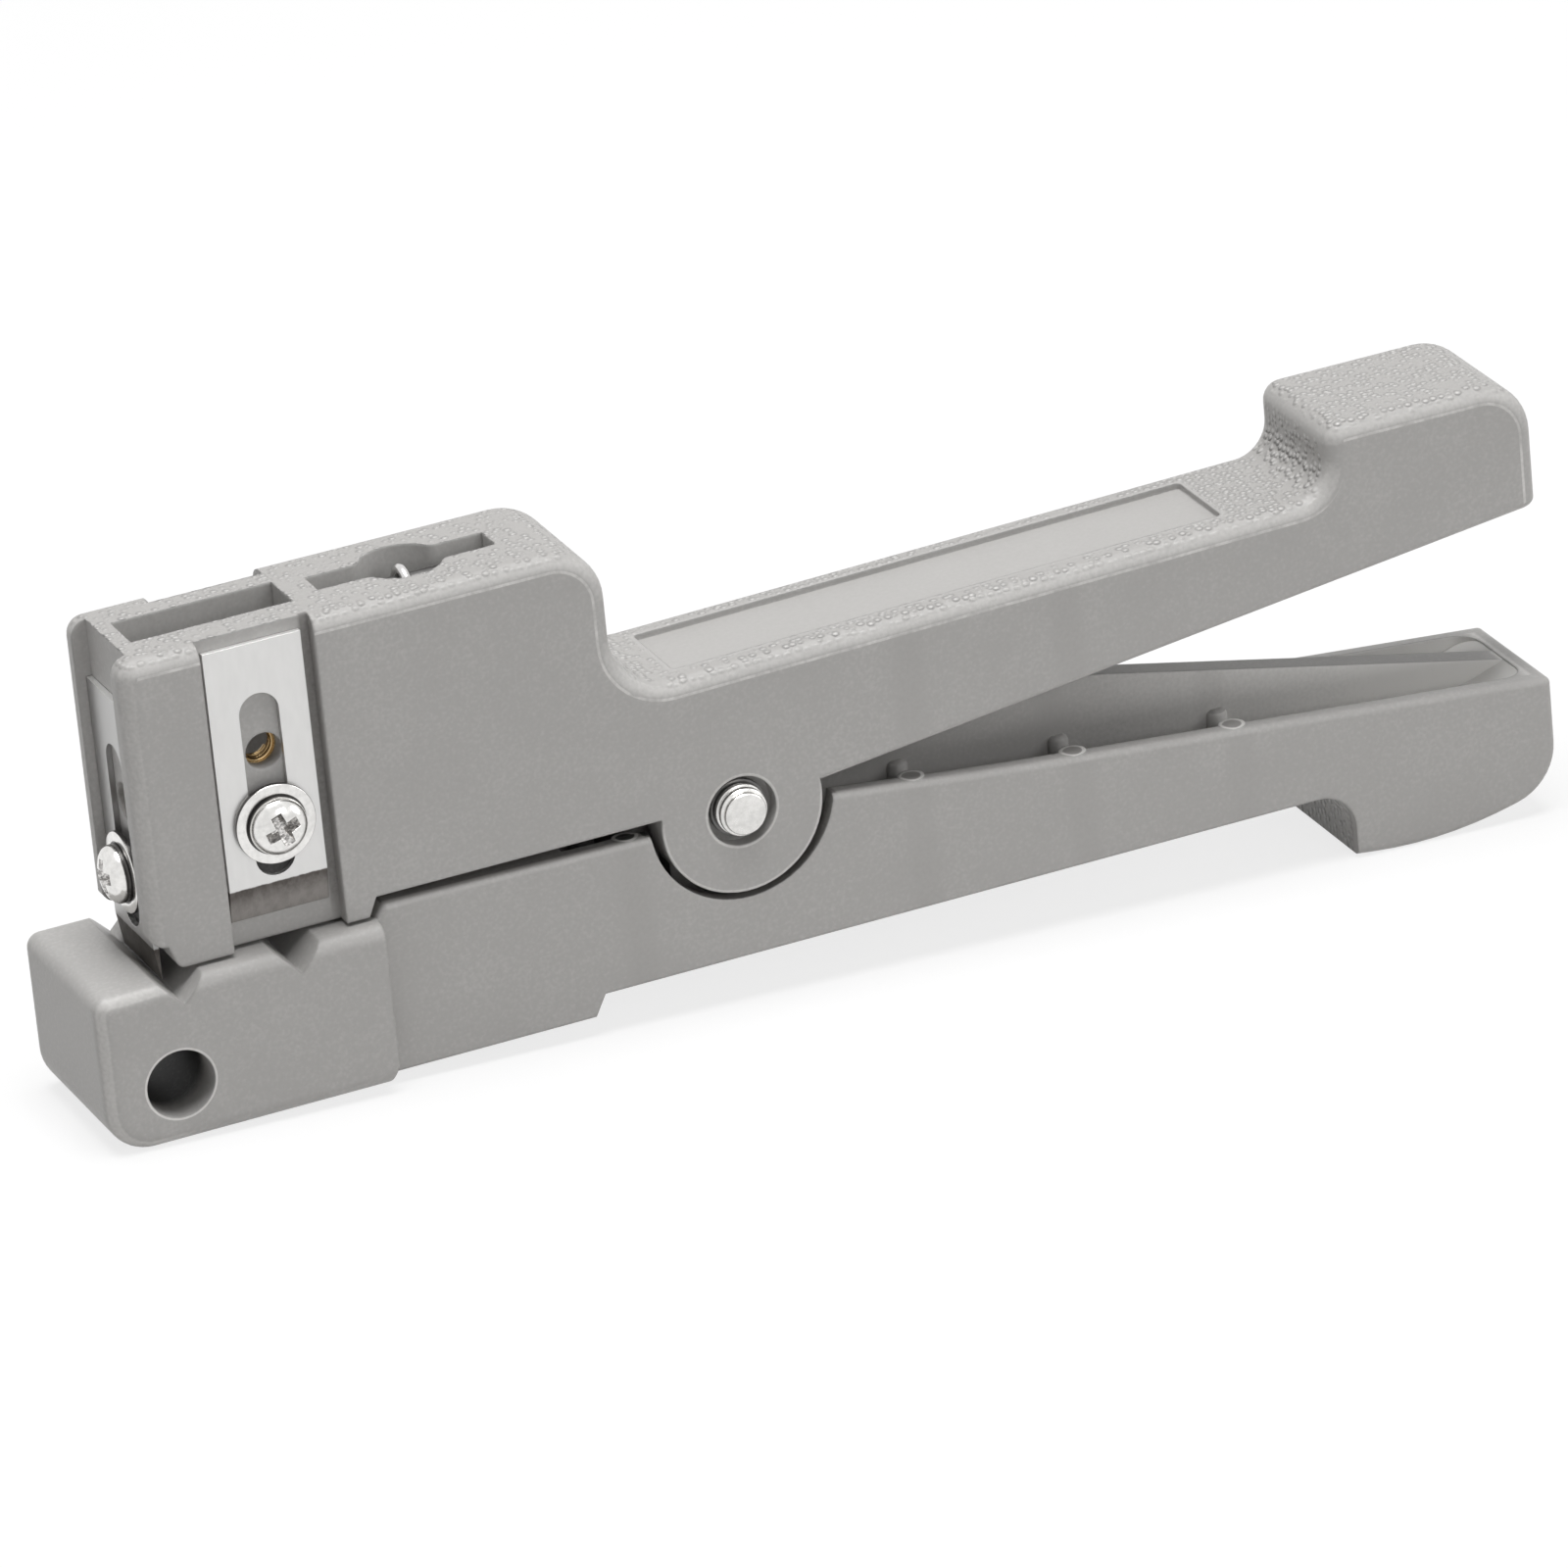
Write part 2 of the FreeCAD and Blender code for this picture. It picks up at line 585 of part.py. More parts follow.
def upper_channel():
    """Hollow under the upper handle and grip, open below."""
    start = UPPER_EAR_BACK_REACH
    grip_front = GRIP_FRONT + UPPER_ROOF
    end = HANDLE_REACH - UPPER_END_WALL
    grip_roof = GRIP_TOP - UPPER_ROOF
    outline = [
        (start, -EAR_RADIUS, 0),
        (start, handle_top(start) - UPPER_ROOF, UPPER_INNER_ROUND),
        (grip_front, handle_top(grip_front) - UPPER_ROOF, UPPER_INNER_ROUND),
        (grip_front, grip_roof, UPPER_INNER_ROUND),
        (end, grip_roof, GRIP_END_ROUND - UPPER_END_WALL),
        (end, -EAR_RADIUS, 0),
    ]
    hollow = slab(outline, LEVER_WIDTH - 2 * UPPER_WALL)
    posts = []
    for index in range(EJECTOR_BOSS_COUNT):
        x = EJECTOR_BOSS_FIRST + index * EJECTOR_BOSS_SPACING
        y = HALF_WIDTH - UPPER_WALL
        foot = upper_edge(x)
        post = rod(V(x, -y, foot), V(x, -y, handle_top(x)), 2 * EJECTOR_BOSS_RADIUS)
        posts.extend([post, mirrored(post)])
    return hollow.cut(posts)


def blade_pockets():
    """Shallow recesses that hold the blades on both sides and the front of the head."""
    pocket_front = RING_GROOVE_X - SIDE_POCKET_WIDTH / 2
    low, high = HEAD_FOOT - PAST, HEAD_TOP + PAST
    near = block(pocket_front, CORE_BACK, -HALF_WIDTH - PAST, -SIDE_POCKET_Y, low, high)
    far = block(pocket_front, CORE_BACK, FAR_POCKET_Y, HALF_WIDTH + PAST, low, high)
    front = block(
        HEAD_FRONT - PAST, FRONT_POCKET_X,
        -FRONT_POCKET_WIDTH / 2, FRONT_POCKET_WIDTH / 2,
        low, high,
    )
    return [near, far, front]


def head_core():
    """Cored opening behind the blades, with a thicker front wall where the front inserts sit."""
    floor = HEAD_FOOT + CORE_FLOOR
    boss_back = FRONT_POCKET_X + FRONT_BOSS_WALL
    y = CORE_WIDTH / 2
    lower = block(boss_back, CORE_BACK, -y, y, floor, FRONT_BOSS_TOP)
    upper = block(CORE_FRONT, CORE_BACK, -y, y, FRONT_BOSS_TOP, HEAD_TOP + PAST)
    return lower.fuse(upper).removeSplitter()


def side_seats():
    """Heights of the lower and upper screw seats in a side pocket."""
    return (SIDE_SCREW_HEIGHT, SIDE_SCREW_HEIGHT + INSERT_SPACING)


def front_seats():
    """Heights of the lower and upper screw seats in the front pocket."""
    return (FRONT_SCREW_HEIGHT, FRONT_SCREW_HEIGHT + INSERT_SPACING)


def side_stack(side):
    """Facing direction, pocket floor and wall of one side of the head; side is -1 near and +1 far."""
    y = SIDE_POCKET_Y if side < 0 else FAR_POCKET_Y
    return V(0, side, 0), V(RING_GROOVE_X, side * y, 0), y - CORE_WIDTH / 2


def front_stack():
    return V(-1, 0, 0), V(FRONT_POCKET_X, 0, 0), FRONT_BOSS_WALL


def insert_hole(wall):
    """Screw hole in a pocket floor and the insert's wider seat at the back of the wall, drawn into +Z."""
    seat_start = wall - INSERT_LENGTH
    hole = rod(V(0, 0, -PAST), V(0, 0, seat_start), SCREW_HOLE_DIAMETER)
    seat = rod(V(0, 0, seat_start), V(0, 0, wall + PAST), INSERT_DIAMETER + 2 * INSERT_CLEARANCE)
    return hole.fuse(seat)


def insert_holes():
    holes = []
    for stack, heights in [
        (side_stack(-1), side_seats()),
        (side_stack(1), side_seats()),
        (front_stack(), front_seats()),
    ]:
        facing, floor, wall = stack
        for height in heights:
            holes.append(seated(insert_hole(wall), floor + V(0, 0, height), facing * -1))
    return holes


def label_panel():
    """Shallow bare recess along the top of the handle."""
    corners = [
        (PANEL_START, handle_top(PANEL_START) - PANEL_DEPTH, 0),
        (PANEL_END, handle_top(PANEL_END) - PANEL_DEPTH, 0),
        (PANEL_END, handle_top(PANEL_END) + PAST, 0),
        (PANEL_START, handle_top(PANEL_START) + PAST, 0),
    ]
    panel = slab(corners, PANEL_WIDTH)
    return round_edges(
        panel,
        PANEL_CORNER,
        lambda middle, edge: edge.BoundBox.XLength < NEAR and edge.BoundBox.YLength < NEAR,
    )


def pivot_counterbores():
    bores = []
    for side in (-1, 1):
        floor = V(0, side * (HALF_WIDTH - COUNTERBORE_DEPTH), 0)
        bores.append(rod(floor, V(0, side * (HALF_WIDTH + PAST), 0), COUNTERBORE_DIAMETER))
    return bores


def make_upper_lever():
    lever = upper_form()
    lever = lever.cut([pivot_cavity(), upper_channel()])
    lever = lever.cut(blade_pockets())
    lever = lever.cut([head_core(), label_panel()])
    lever = lever.cut(insert_holes())
    lever = lever.cut(spring_well(
        HEAD_FOOT - PAST, HEAD_TOP + PAST,
        UPPER_PIN_SLOT_FLOOR, HEAD_TOP + PAST,
    ))
    bore = PIVOT_PIN_DIAMETER + 2 * PIN_RUNNING_CLEARANCE
    lever = lever.cut([cross_rod(0, 0, bore, LEVER_WIDTH + 2 * PAST)] + pivot_counterbores())
    return lever.removeSplitter()


def make_pivot_pin():
    """Ground pin whose bevelled ends stand a little out of the ears."""
    pin = cross_rod(0, 0, PIVOT_PIN_DIAMETER, LEVER_WIDTH + 2 * PIN_END_STAND)
    return pin.makeChamfer(PIN_END_BEVEL, [edge for edge in pin.Edges if edge.BoundBox.YLength < NEAR])


def make_pin_ring(side):
    """Push-on ring that holds the pivot pin, seated on the floor of a counterbore."""
    inner = HALF_WIDTH - COUNTERBORE_DEPTH + PIN_RING_CLEARANCE
    start = V(0, side * inner, 0)
    end = V(0, side * (inner + PIN_RING_THICKNESS), 0)
    bore = PIVOT_PIN_DIAMETER + 2 * PIN_RING_CLEARANCE
    return rod(start, end, PIN_RING_DIAMETER).cut(rod(start, end, bore))


def make_blade():
    """Slotted blade drawn flat on XY: width along X, edge at y = 0 and thickness up to +Z."""
    half = BLADE_WIDTH / 2
    plate = block(-half, half, 0, BLADE_LENGTH, 0, BLADE_THICKNESS)
    radius = BLADE_SLOT_WIDTH / 2
    slot_start = BLADE_SLOT_FROM_EDGE + radius
    slot_end = BLADE_SLOT_FROM_EDGE + BLADE_SLOT_LENGTH - radius
    slot = block(-radius, radius, slot_start, slot_end, -PAST, BLADE_THICKNESS + PAST)
    for y in (slot_start, slot_end):
        slot = slot.fuse(rod(V(0, y, -PAST), V(0, y, BLADE_THICKNESS + PAST), BLADE_SLOT_WIDTH))
    ground = Part.Face(Part.makePolygon([
        V(-half - PAST, 0, BLADE_EDGE_LAND),
        V(-half - PAST, BLADE_BEVEL, BLADE_THICKNESS),
        V(-half - PAST, BLADE_BEVEL, BLADE_THICKNESS + PAST),
        V(-half - PAST, -PAST, BLADE_THICKNESS + PAST),
        V(-half - PAST, -PAST, BLADE_EDGE_LAND),
        V(-half - PAST, 0, BLADE_EDGE_LAND),
    ])).extrude(V(BLADE_WIDTH + 2 * PAST, 0, 0))
    return plate.cut([slot.removeSplitter(), ground])


def set_blade(shape, facing, place):
    """Stand a flat blade upright: its bevelled face looks along facing, its edge is at place."""
    across = V(0, 0, 1).cross(facing)
    matrix = FreeCAD.Matrix(
        across.x, 0, facing.x, place.x,
        across.y, 0, facing.y, place.y,
        across.z, 1, facing.z, place.z,
        0, 0, 0, 1,
    )
    standing = shape.copy()
    standing.Placement = FreeCAD.Placement(matrix)
    return standing


def make_side_blade():
    face = -SIDE_POCKET_Y - BLADE_CLEARANCE
    return set_blade(make_blade(), V(0, -1, 0), V(RING_GROOVE_X - SIDE_BLADE_SHIFT, face, SIDE_BLADE_EDGE))


def make_front_blade():
    face = FRONT_POCKET_X - BLADE_CLEARANCE
    return set_blade(make_blade(), V(-1, 0, 0), V(face, 0, SLIT_EDGE_Z))


def make_washer():
    """Flat washer drawn on XY from z = 0 upwards."""
    ring = rod(V(0, 0, 0), V(0, 0, WASHER_THICKNESS), WASHER_DIAMETER)
    return ring.cut(rod(V(0, 0, -PAST), V(0, 0, WASHER_THICKNESS + PAST), WASHER_BORE))


def make_screw():
    """Cross-recessed pan head screw, with the underside of its head at z = 0."""
    head_radius = SCREW_HEAD_DIAMETER / 2
    shank_radius = SCREW_DIAMETER / 2
    screw = turned_profile([
        (0, -SCREW_LENGTH),
        (shank_radius, -SCREW_LENGTH),
        (shank_radius, 0),
        (head_radius, 0),
        (head_radius, SCREW_HEAD_RIM),
        (SCREW_CROWN_DIAMETER / 2, SCREW_HEAD_HEIGHT),
        (0, SCREW_HEAD_HEIGHT),
    ])
    half_span = RECESS_SPAN / 2
    half_slot = RECESS_WIDTH / 2
    floor = SCREW_HEAD_HEIGHT - RECESS_DEPTH
    arm = block(-half_span, half_span, -half_slot, half_slot, floor, SCREW_HEAD_HEIGHT + PAST)
    other_arm = block(-half_slot, half_slot, -half_span, half_span, floor, SCREW_HEAD_HEIGHT + PAST)
    return screw.cut(arm.fuse(other_arm))


def make_insert():
    """Brass insert for a screw, drawn from z = 0 upwards."""
    body = rod(V(0, 0, 0), V(0, 0, INSERT_LENGTH), INSERT_DIAMETER)
    return body.cut(rod(V(0, 0, -PAST), V(0, 0, INSERT_LENGTH + PAST), INSERT_BORE))


def clamp_pieces(stack, height):
    """The washer and screw that hold a blade at one height on the head."""
    facing, floor, _ = stack
    lift = V(0, 0, height)
    washer_depth = BLADE_THICKNESS + 2 * BLADE_CLEARANCE
    washer = seated(make_washer(), floor + lift + facing * washer_depth, facing)
    screw = seated(make_screw(), floor + lift + facing * (washer_depth + WASHER_THICKNESS), facing)
    return washer, screw


def seated_insert(stack, height):
    facing, floor, wall = stack
    inward = facing * -1
    start = floor + V(0, 0, height) + inward * (wall - INSERT_LENGTH)
    return seated(make_insert(), start, inward)


def make_spring_pin(z):
    """Pin that lies along the tool in the slot across a well's mouth."""
    half = PIN_SLOT_LENGTH / 2 - SPRING_PIN_END_GAP
    return rod(V(WELL_X - half, 0, z), V(WELL_X + half, 0, z), SPRING_PIN_DIAMETER)


def hook_points(pin_z, outward):
    """Points from a hook's free tip over its pin, which is at pin_z; outward is -1 or 1 along Z."""
    radius = (SPRING_PIN_DIAMETER + SPRING_WIRE) / 2 + SPRING_HOOK_CLEARANCE
    points = [V(WELL_X, radius, pin_z - outward * SPRING_WIRE)]
    for step in range(SPRING_HOOK_STEPS + 1):
        angle = math.pi * step / SPRING_HOOK_STEPS
        y = radius * math.cos(angle)
        points.append(V(WELL_X, y, pin_z + outward * radius * math.sin(angle)))
    return points


def coil_points(low, high):
    """Points of the open coil from one end to the other."""
    radius = (SPRING_DIAMETER - SPRING_WIRE) / 2
    steps = SPRING_TURNS * SPRING_STEPS_PER_TURN
    points = []
    for step in range(steps + 1):
        angle = 2 * math.pi * step / SPRING_STEPS_PER_TURN
        x = WELL_X + radius * math.sin(angle)
        points.append(V(x, -radius * math.cos(angle), low + (high - low) * step / steps))
    return points


def make_return_spring():
    """Draw spring in the wells of both levers, bent from one wire, with a hook over each pin."""
    route = hook_points(LOWER_PIN_Z, -1)
    route += coil_points(LOWER_PIN_Z + SPRING_HOOK_LENGTH, UPPER_PIN_Z - SPRING_HOOK_LENGTH)
    route += reversed(hook_points(UPPER_PIN_Z, 1))
    section = []
    for corner in range(SPRING_WIRE_SIDES):
        angle = 2 * math.pi * (corner + 0.5) / SPRING_WIRE_SIDES
        section.append(route[0] + V(math.cos(angle), math.sin(angle), 0) * (SPRING_WIRE / 2))
    profile = Part.makePolygon(section + section[:1])
    mitred_corners = 1
    return Part.makePolygon(route).makePipeShell([profile], True, False, mitred_corners)


def build_parts():
    near = side_stack(-1)
    far = side_stack(1)
    front = front_stack()
    low_side, high_side = side_seats()
    low_front, high_front = front_seats()
    side_washer, side_screw = clamp_pieces(near, low_side)
    front_washer, front_screw = clamp_pieces(front, low_front)
    return {
        "lower_lever": make_lower_lever(),
        "upper_lever": make_upper_lever(),
        "pivot_pin": make_pivot_pin(),
        "near_pin_ring": make_pin_ring(-1),
        "far_pin_ring": make_pin_ring(1),
        "side_blade": make_side_blade(),
        "side_washer": side_washer,
        "side_screw": side_screw,
        "side_insert_lower": seated_insert(near, low_side),
        "side_insert_upper": seated_insert(near, high_side),
        "far_insert_lower": seated_insert(far, low_side),
        "far_insert_upper": seated_insert(far, high_side),
        "front_blade": make_front_blade(),
        "front_washer": front_washer,
        "front_screw": front_screw,
        "front_insert_lower": seated_insert(front, low_front),
        "front_insert_upper": seated_insert(front, high_front),
        "upper_spring_pin": make_spring_pin(UPPER_PIN_Z),
        "lower_spring_pin": make_spring_pin(LOWER_PIN_Z),
        "return_spring": make_return_spring(),
    }


def box_bottom_centre(shapes):
    """Bottom centre of the box round all the shapes."""
    boxes = [shape.optimalBoundingBox() for shape in shapes]
    x = (min(box.XMin for box in boxes) + max(box.XMax for box in boxes)) / 2
    y = (min(box.YMin for box in boxes) + max(box.YMax for box in boxes)) / 2
    return V(x, y, min(box.ZMin for box in boxes))


def main():
    os.makedirs("parts", exist_ok=True)
    shapes = build_parts()
    origin = box_bottom_centre(shapes.values())
    print("pivot at", -origin)
    for name, shape in shapes.items():
        shape.translate(-origin)
        shape.exportStep("parts/" + name + ".step")
        print(name, "solids", len(shape.Solids), "valid", shape.isValid(), "volume", round(shape.Volume, 1))


main()
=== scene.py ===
"""Looks of a two-lever coaxial cable stripper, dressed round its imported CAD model."""

import json
import math

import bmesh
import bpy
from mathutils import Euler, Matrix, Vector


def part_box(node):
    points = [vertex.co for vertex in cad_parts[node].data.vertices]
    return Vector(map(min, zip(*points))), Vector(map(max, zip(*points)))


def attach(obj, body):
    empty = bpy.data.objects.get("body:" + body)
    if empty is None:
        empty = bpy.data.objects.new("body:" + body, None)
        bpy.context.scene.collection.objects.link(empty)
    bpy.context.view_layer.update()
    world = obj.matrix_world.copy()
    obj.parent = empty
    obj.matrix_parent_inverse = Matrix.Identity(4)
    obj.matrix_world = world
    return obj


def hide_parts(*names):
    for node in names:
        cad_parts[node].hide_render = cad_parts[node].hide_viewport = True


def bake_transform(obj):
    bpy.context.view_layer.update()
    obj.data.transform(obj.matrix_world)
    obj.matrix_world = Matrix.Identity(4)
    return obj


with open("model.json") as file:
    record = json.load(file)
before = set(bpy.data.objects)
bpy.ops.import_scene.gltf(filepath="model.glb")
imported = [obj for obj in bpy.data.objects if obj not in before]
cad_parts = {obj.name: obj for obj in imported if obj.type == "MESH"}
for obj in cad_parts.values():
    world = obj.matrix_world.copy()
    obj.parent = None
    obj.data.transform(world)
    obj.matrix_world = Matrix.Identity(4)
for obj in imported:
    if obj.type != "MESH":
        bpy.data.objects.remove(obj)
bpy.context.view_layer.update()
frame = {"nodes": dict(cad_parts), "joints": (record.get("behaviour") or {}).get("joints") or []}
nodes = frame["nodes"]

MM = 0.001


def in_mm(point):
    """A point of the frame in millimetres, cleared of rounding noise."""
    return Vector([round(value / MM, 3) for value in point])


def middle_of(node):
    """The middle of a node's box, in millimetres."""
    low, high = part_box(node)
    return in_mm((Vector(low) + Vector(high)) / 2)


def inner_face(node, outward):
    """How far out along an axis a node's box starts, in millimetres."""
    return min(in_mm(corner).dot(outward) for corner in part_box(node))


hinge = next(joint for joint in frame["joints"] if joint["name"] == "lever_pivot")
PIVOT = in_mm(hinge["pos_m"])

# Sizes and places on the levers, in millimetres from the hinge.
EAR_RADIUS = 7.3
NOTCH_RADIUS = 8.35
COUNTERBORE_RADIUS = 3.1
RING_GROOVE_X = -40.7
HEAD_TOP = 26.8
HEAD_CORE_SPAN = (-49.9, -35.6)
SPRING_WELL_SPAN = (-33.6, -14.0)
BLADE_GAP_SPAN = (-36.3, -35.7)
POCKET_FLOOR_Y = -5.35
SIDE_SLOT_END_Z = 5.5
FRONT_SLOT_END_Z = 1.8
STEP_SPAN = (-24.0, -6.0)
STEP_FOOT_Z = 13.5
HANDLE_TOP_AT_PIVOT = 13.05
HANDLE_TOP_SLOPE = 0.0188
PANEL_SPAN = (-4.1, 47.0)
GRIP_FRONT_SPAN = (53.5, 57.0)
GRIP_FRONT_TOP = 17.5
HANG_HOLE_X = -52.25
HANG_HOLE_Z = -9.98
HANG_HOLE_RADIUS = 3.0
UNDER_HEAD_SPAN = (-34.0, -7.6)
HOOK_INSIDE_SPAN = (53.0, 59.0)
HOOK_INSIDE_TOP = -13.0
EJECTOR_POSTS_X = (16.0, 30.85, 45.7)
FRONT_EJECTOR_POST_X = -10.1
CHANNEL_FLOOR_Z = -11.1
CHANNEL_WALL_Y = 5.25
CHANNEL_END_X = 73.55

# The two edges that the tool rests on, in millimetres from the frame's origin.
JAW_FOOT_EDGE = Vector((-63.125, 0, 4.455))
HOOK_LOWEST_EDGE = Vector((53.246, 0, 0.006))

# The plastic: warm light grey, semi-matte. Its tone is 0 when plain, 1 at its palest painted light,
# -1 in painted shade and -2 in the darkest painted shade, in the deepest recesses.
PLASTIC_GLINT = (0.72, 0.71, 0.69)
PLASTIC_BASE = (0.385, 0.377, 0.367)
PLASTIC_SHADE = (0.28, 0.27, 0.26)
PLASTIC_DEEP_SHADE = (0.025, 0.024, 0.023)
PLASTIC_ROUGHNESS = 0.48
MOULD_EDGE_ROUND = 0.36
GRAIN_DEPTH = 0.22
PEBBLE_SIZE = 0.78
PEBBLE_MIDDLE = 0.6
GRIT_HEIGHT = 0.02
CLOUD_HEIGHT = 0.05

# How far each mark, each painted highlight and each painted shade moves the plastic's tone.
CLOUD_TONE = 0.22
GRIT_TONE = 0.5
PEBBLE_SHADING_TONE = 0.6
SEAM_HIGHLIGHT_TONE = 0.6
ROUNDING_HIGHLIGHT_TONE = 0.16
PANEL_TONE = -0.1
RIM_HIGHLIGHT_TONE = 0.55
SINK_SHADE_TONE = -0.12
HEAD_WALL_LIGHT_TONE = 0.45
SLOT_END_SHADE_TONE = -2.0
BLADE_GAP_SHADE_TONE = -1.1
POST_RING_HIGHLIGHT_TONE = 1.6
HANG_HOLE_SHADE_TONE = -2.0
HOLE_LIP_HIGHLIGHT_TONE = 0.8
JAW_CORNER_HIGHLIGHT_TONE = 0.3
CHANNEL_LIGHT_TONE = 1.05
HOOK_INSIDE_TONE = -0.9
UNDER_HEAD_TONE = -1.4
EAR_NOTCH_TONE = -1.3

# The blades: satin faces, a dark ground bevel, painted highlights on the up-facing cut edges, and
# BLADE_UNLIT as painted shade.
BLADE_FACE_DARK = (0.66, 0.655, 0.645)
BLADE_FACE_PALE = (0.73, 0.725, 0.715)
BLADE_UNLIT = (0.1, 0.1, 0.1)
BEVEL_DARK = (0.075, 0.066, 0.060)
BEVEL_PALE = (0.25, 0.235, 0.222)
CUT_EDGE_HIGHLIGHT = (0.97, 0.97, 0.96)
BEVEL_HEIGHT = 2.9

# The screws, washers, threads and spring.
WASHER_RADIUS = 3.5
WASHER_BORE_RADIUS = 1.6
WASHER_THICKNESS = 0.5
SCREW_HEAD_RADIUS = 2.5
SCREW_HEAD_HEIGHT = 1.7
SCREW_HEAD_RIM = 0.45
SHANK_RADIUS = 1.45
SHANK_LENGTH = 4.2
SHANK_CHAMFER = 0.3
RECESS_DEPTH = 1.2
THREAD_RADIUS = 1.46
THREAD_PITCH = 0.5
THREAD_TURNS = 2.4
THREAD_RIDGE = 0.24
SPRING_WIRE_RADIUS = 0.45
SPRING_COIL_RADIUS = 2.5
SPRING_HOOK_RADIUS = 1.51
SPRING_HOOK_LENGTH = 3.2
SPRING_TURNS = 15

WHITE = (1.0, 1.0, 1.0, 1.0)


class Wire:
    """One socket in a node tree; arithmetic on it adds Math nodes."""

    def __init__(self, home, socket):
        self.home = home
        self.socket = socket

    def maths(self, operation, *others, clamp=False):
        settings = {"operation": operation, "use_clamp": clamp}
        return self.home.node("ShaderNodeMath", settings, dict(enumerate((self, *others))))

    def __add__(self, other):
        return self.maths("ADD", other)

    __radd__ = __add__

    def __sub__(self, other):
        return self.maths("SUBTRACT", other)

    def __rsub__(self, other):
        return self.home.node("ShaderNodeMath", {"operation": "SUBTRACT"}, {0: other, 1: self})

    def __mul__(self, other):
        return self.maths("MULTIPLY", other)

    __rmul__ = __mul__

    def __neg__(self):
        return self * -1

    def __abs__(self):
        return self.maths("ABSOLUTE")

    def __pow__(self, power):
        return self.maths("POWER", power)

    def clamped(self):
        return self.maths("ADD", 0.0, clamp=True)

    def larger(self, other):
        return self.maths("MAXIMUM", other)

    def rise(self, low, high):
        """0 below low and 1 above high, with a smooth step between them; high may be below low."""
        if low < high:
            ends = {"From Min": low, "From Max": high, "To Min": 0.0, "To Max": 1.0}
        else:
            ends = {"From Min": high, "From Max": low, "To Min": 1.0, "To Max": 0.0}
        settings = {"interpolation_type": "SMOOTHSTEP"}
        return self.home.node("ShaderNodeMapRange", settings, {"Value": self, **ends})

    def band(self, middle, half, soft):
        """1 within half of the middle, fading to 0 over soft on either side."""
        return abs(self - middle).rise(half + soft, half)

    def within(self, span, soft_low, soft_high):
        """1 from the low to the high end of a span, fading to 0 over soft_low and soft_high beyond them."""
        low, high = span
        return self.rise(low - soft_low, low) * self.rise(high + soft_high, high)


def distance(aside, upwards):
    """How far a point lies from an axis, from its two offsets."""
    return (aside ** 2.0 + upwards ** 2.0) ** 0.5


class NodeTree:
    """The nodes of one tree, built up by the node method."""

    def __init__(self, tree):
        self.tree = tree

    def node(self, kind, settings=None, inputs=None, output=0):
        """A new node with its settings made first, then its sockets set or linked."""
        made = self.tree.nodes.new(kind)
        for name, value in (settings or {}).items():
            setattr(made, name, value)
        for key, value in (inputs or {}).items():
            socket = made.inputs[key]
            if isinstance(value, Wire):
                self.tree.links.new(value.socket, socket)
            else:
                socket.default_value = value
        return Wire(self, made.outputs[output]) if made.outputs else made

    def outputs_of(self, kind, source=None):
        """All outputs of a new node, as wires."""
        made = self.tree.nodes.new(kind)
        if source is not None:
            self.tree.links.new(source.socket, made.inputs[0])
        return {output.name: Wire(self, output) for output in made.outputs if output.name}


class Shading(NodeTree):
    """The nodes of one material or world, cleared and then built up."""

    def __init__(self, owner):
        owner.use_nodes = True
        owner.node_tree.nodes.clear()
        super().__init__(owner.node_tree)

    def mixed_white(self, share, lit):
        """The lit shader, with plain white light mixed in for camera, glossy and clear rays."""
        glow = self.node("ShaderNodeEmission", None, {"Color": WHITE, "Strength": 1.0})
        return self.node("ShaderNodeMixShader", None, {0: self.seen_directly() * share, 1: lit, 2: glow})

    def seen_directly(self):
        """1 for camera, glossy and transmission rays, and 0 for the rays that light things."""
        rays = self.outputs_of("ShaderNodeLightPath")
        return rays["Is Camera Ray"].larger(rays["Is Glossy Ray"]).larger(rays["Is Transmission Ray"])


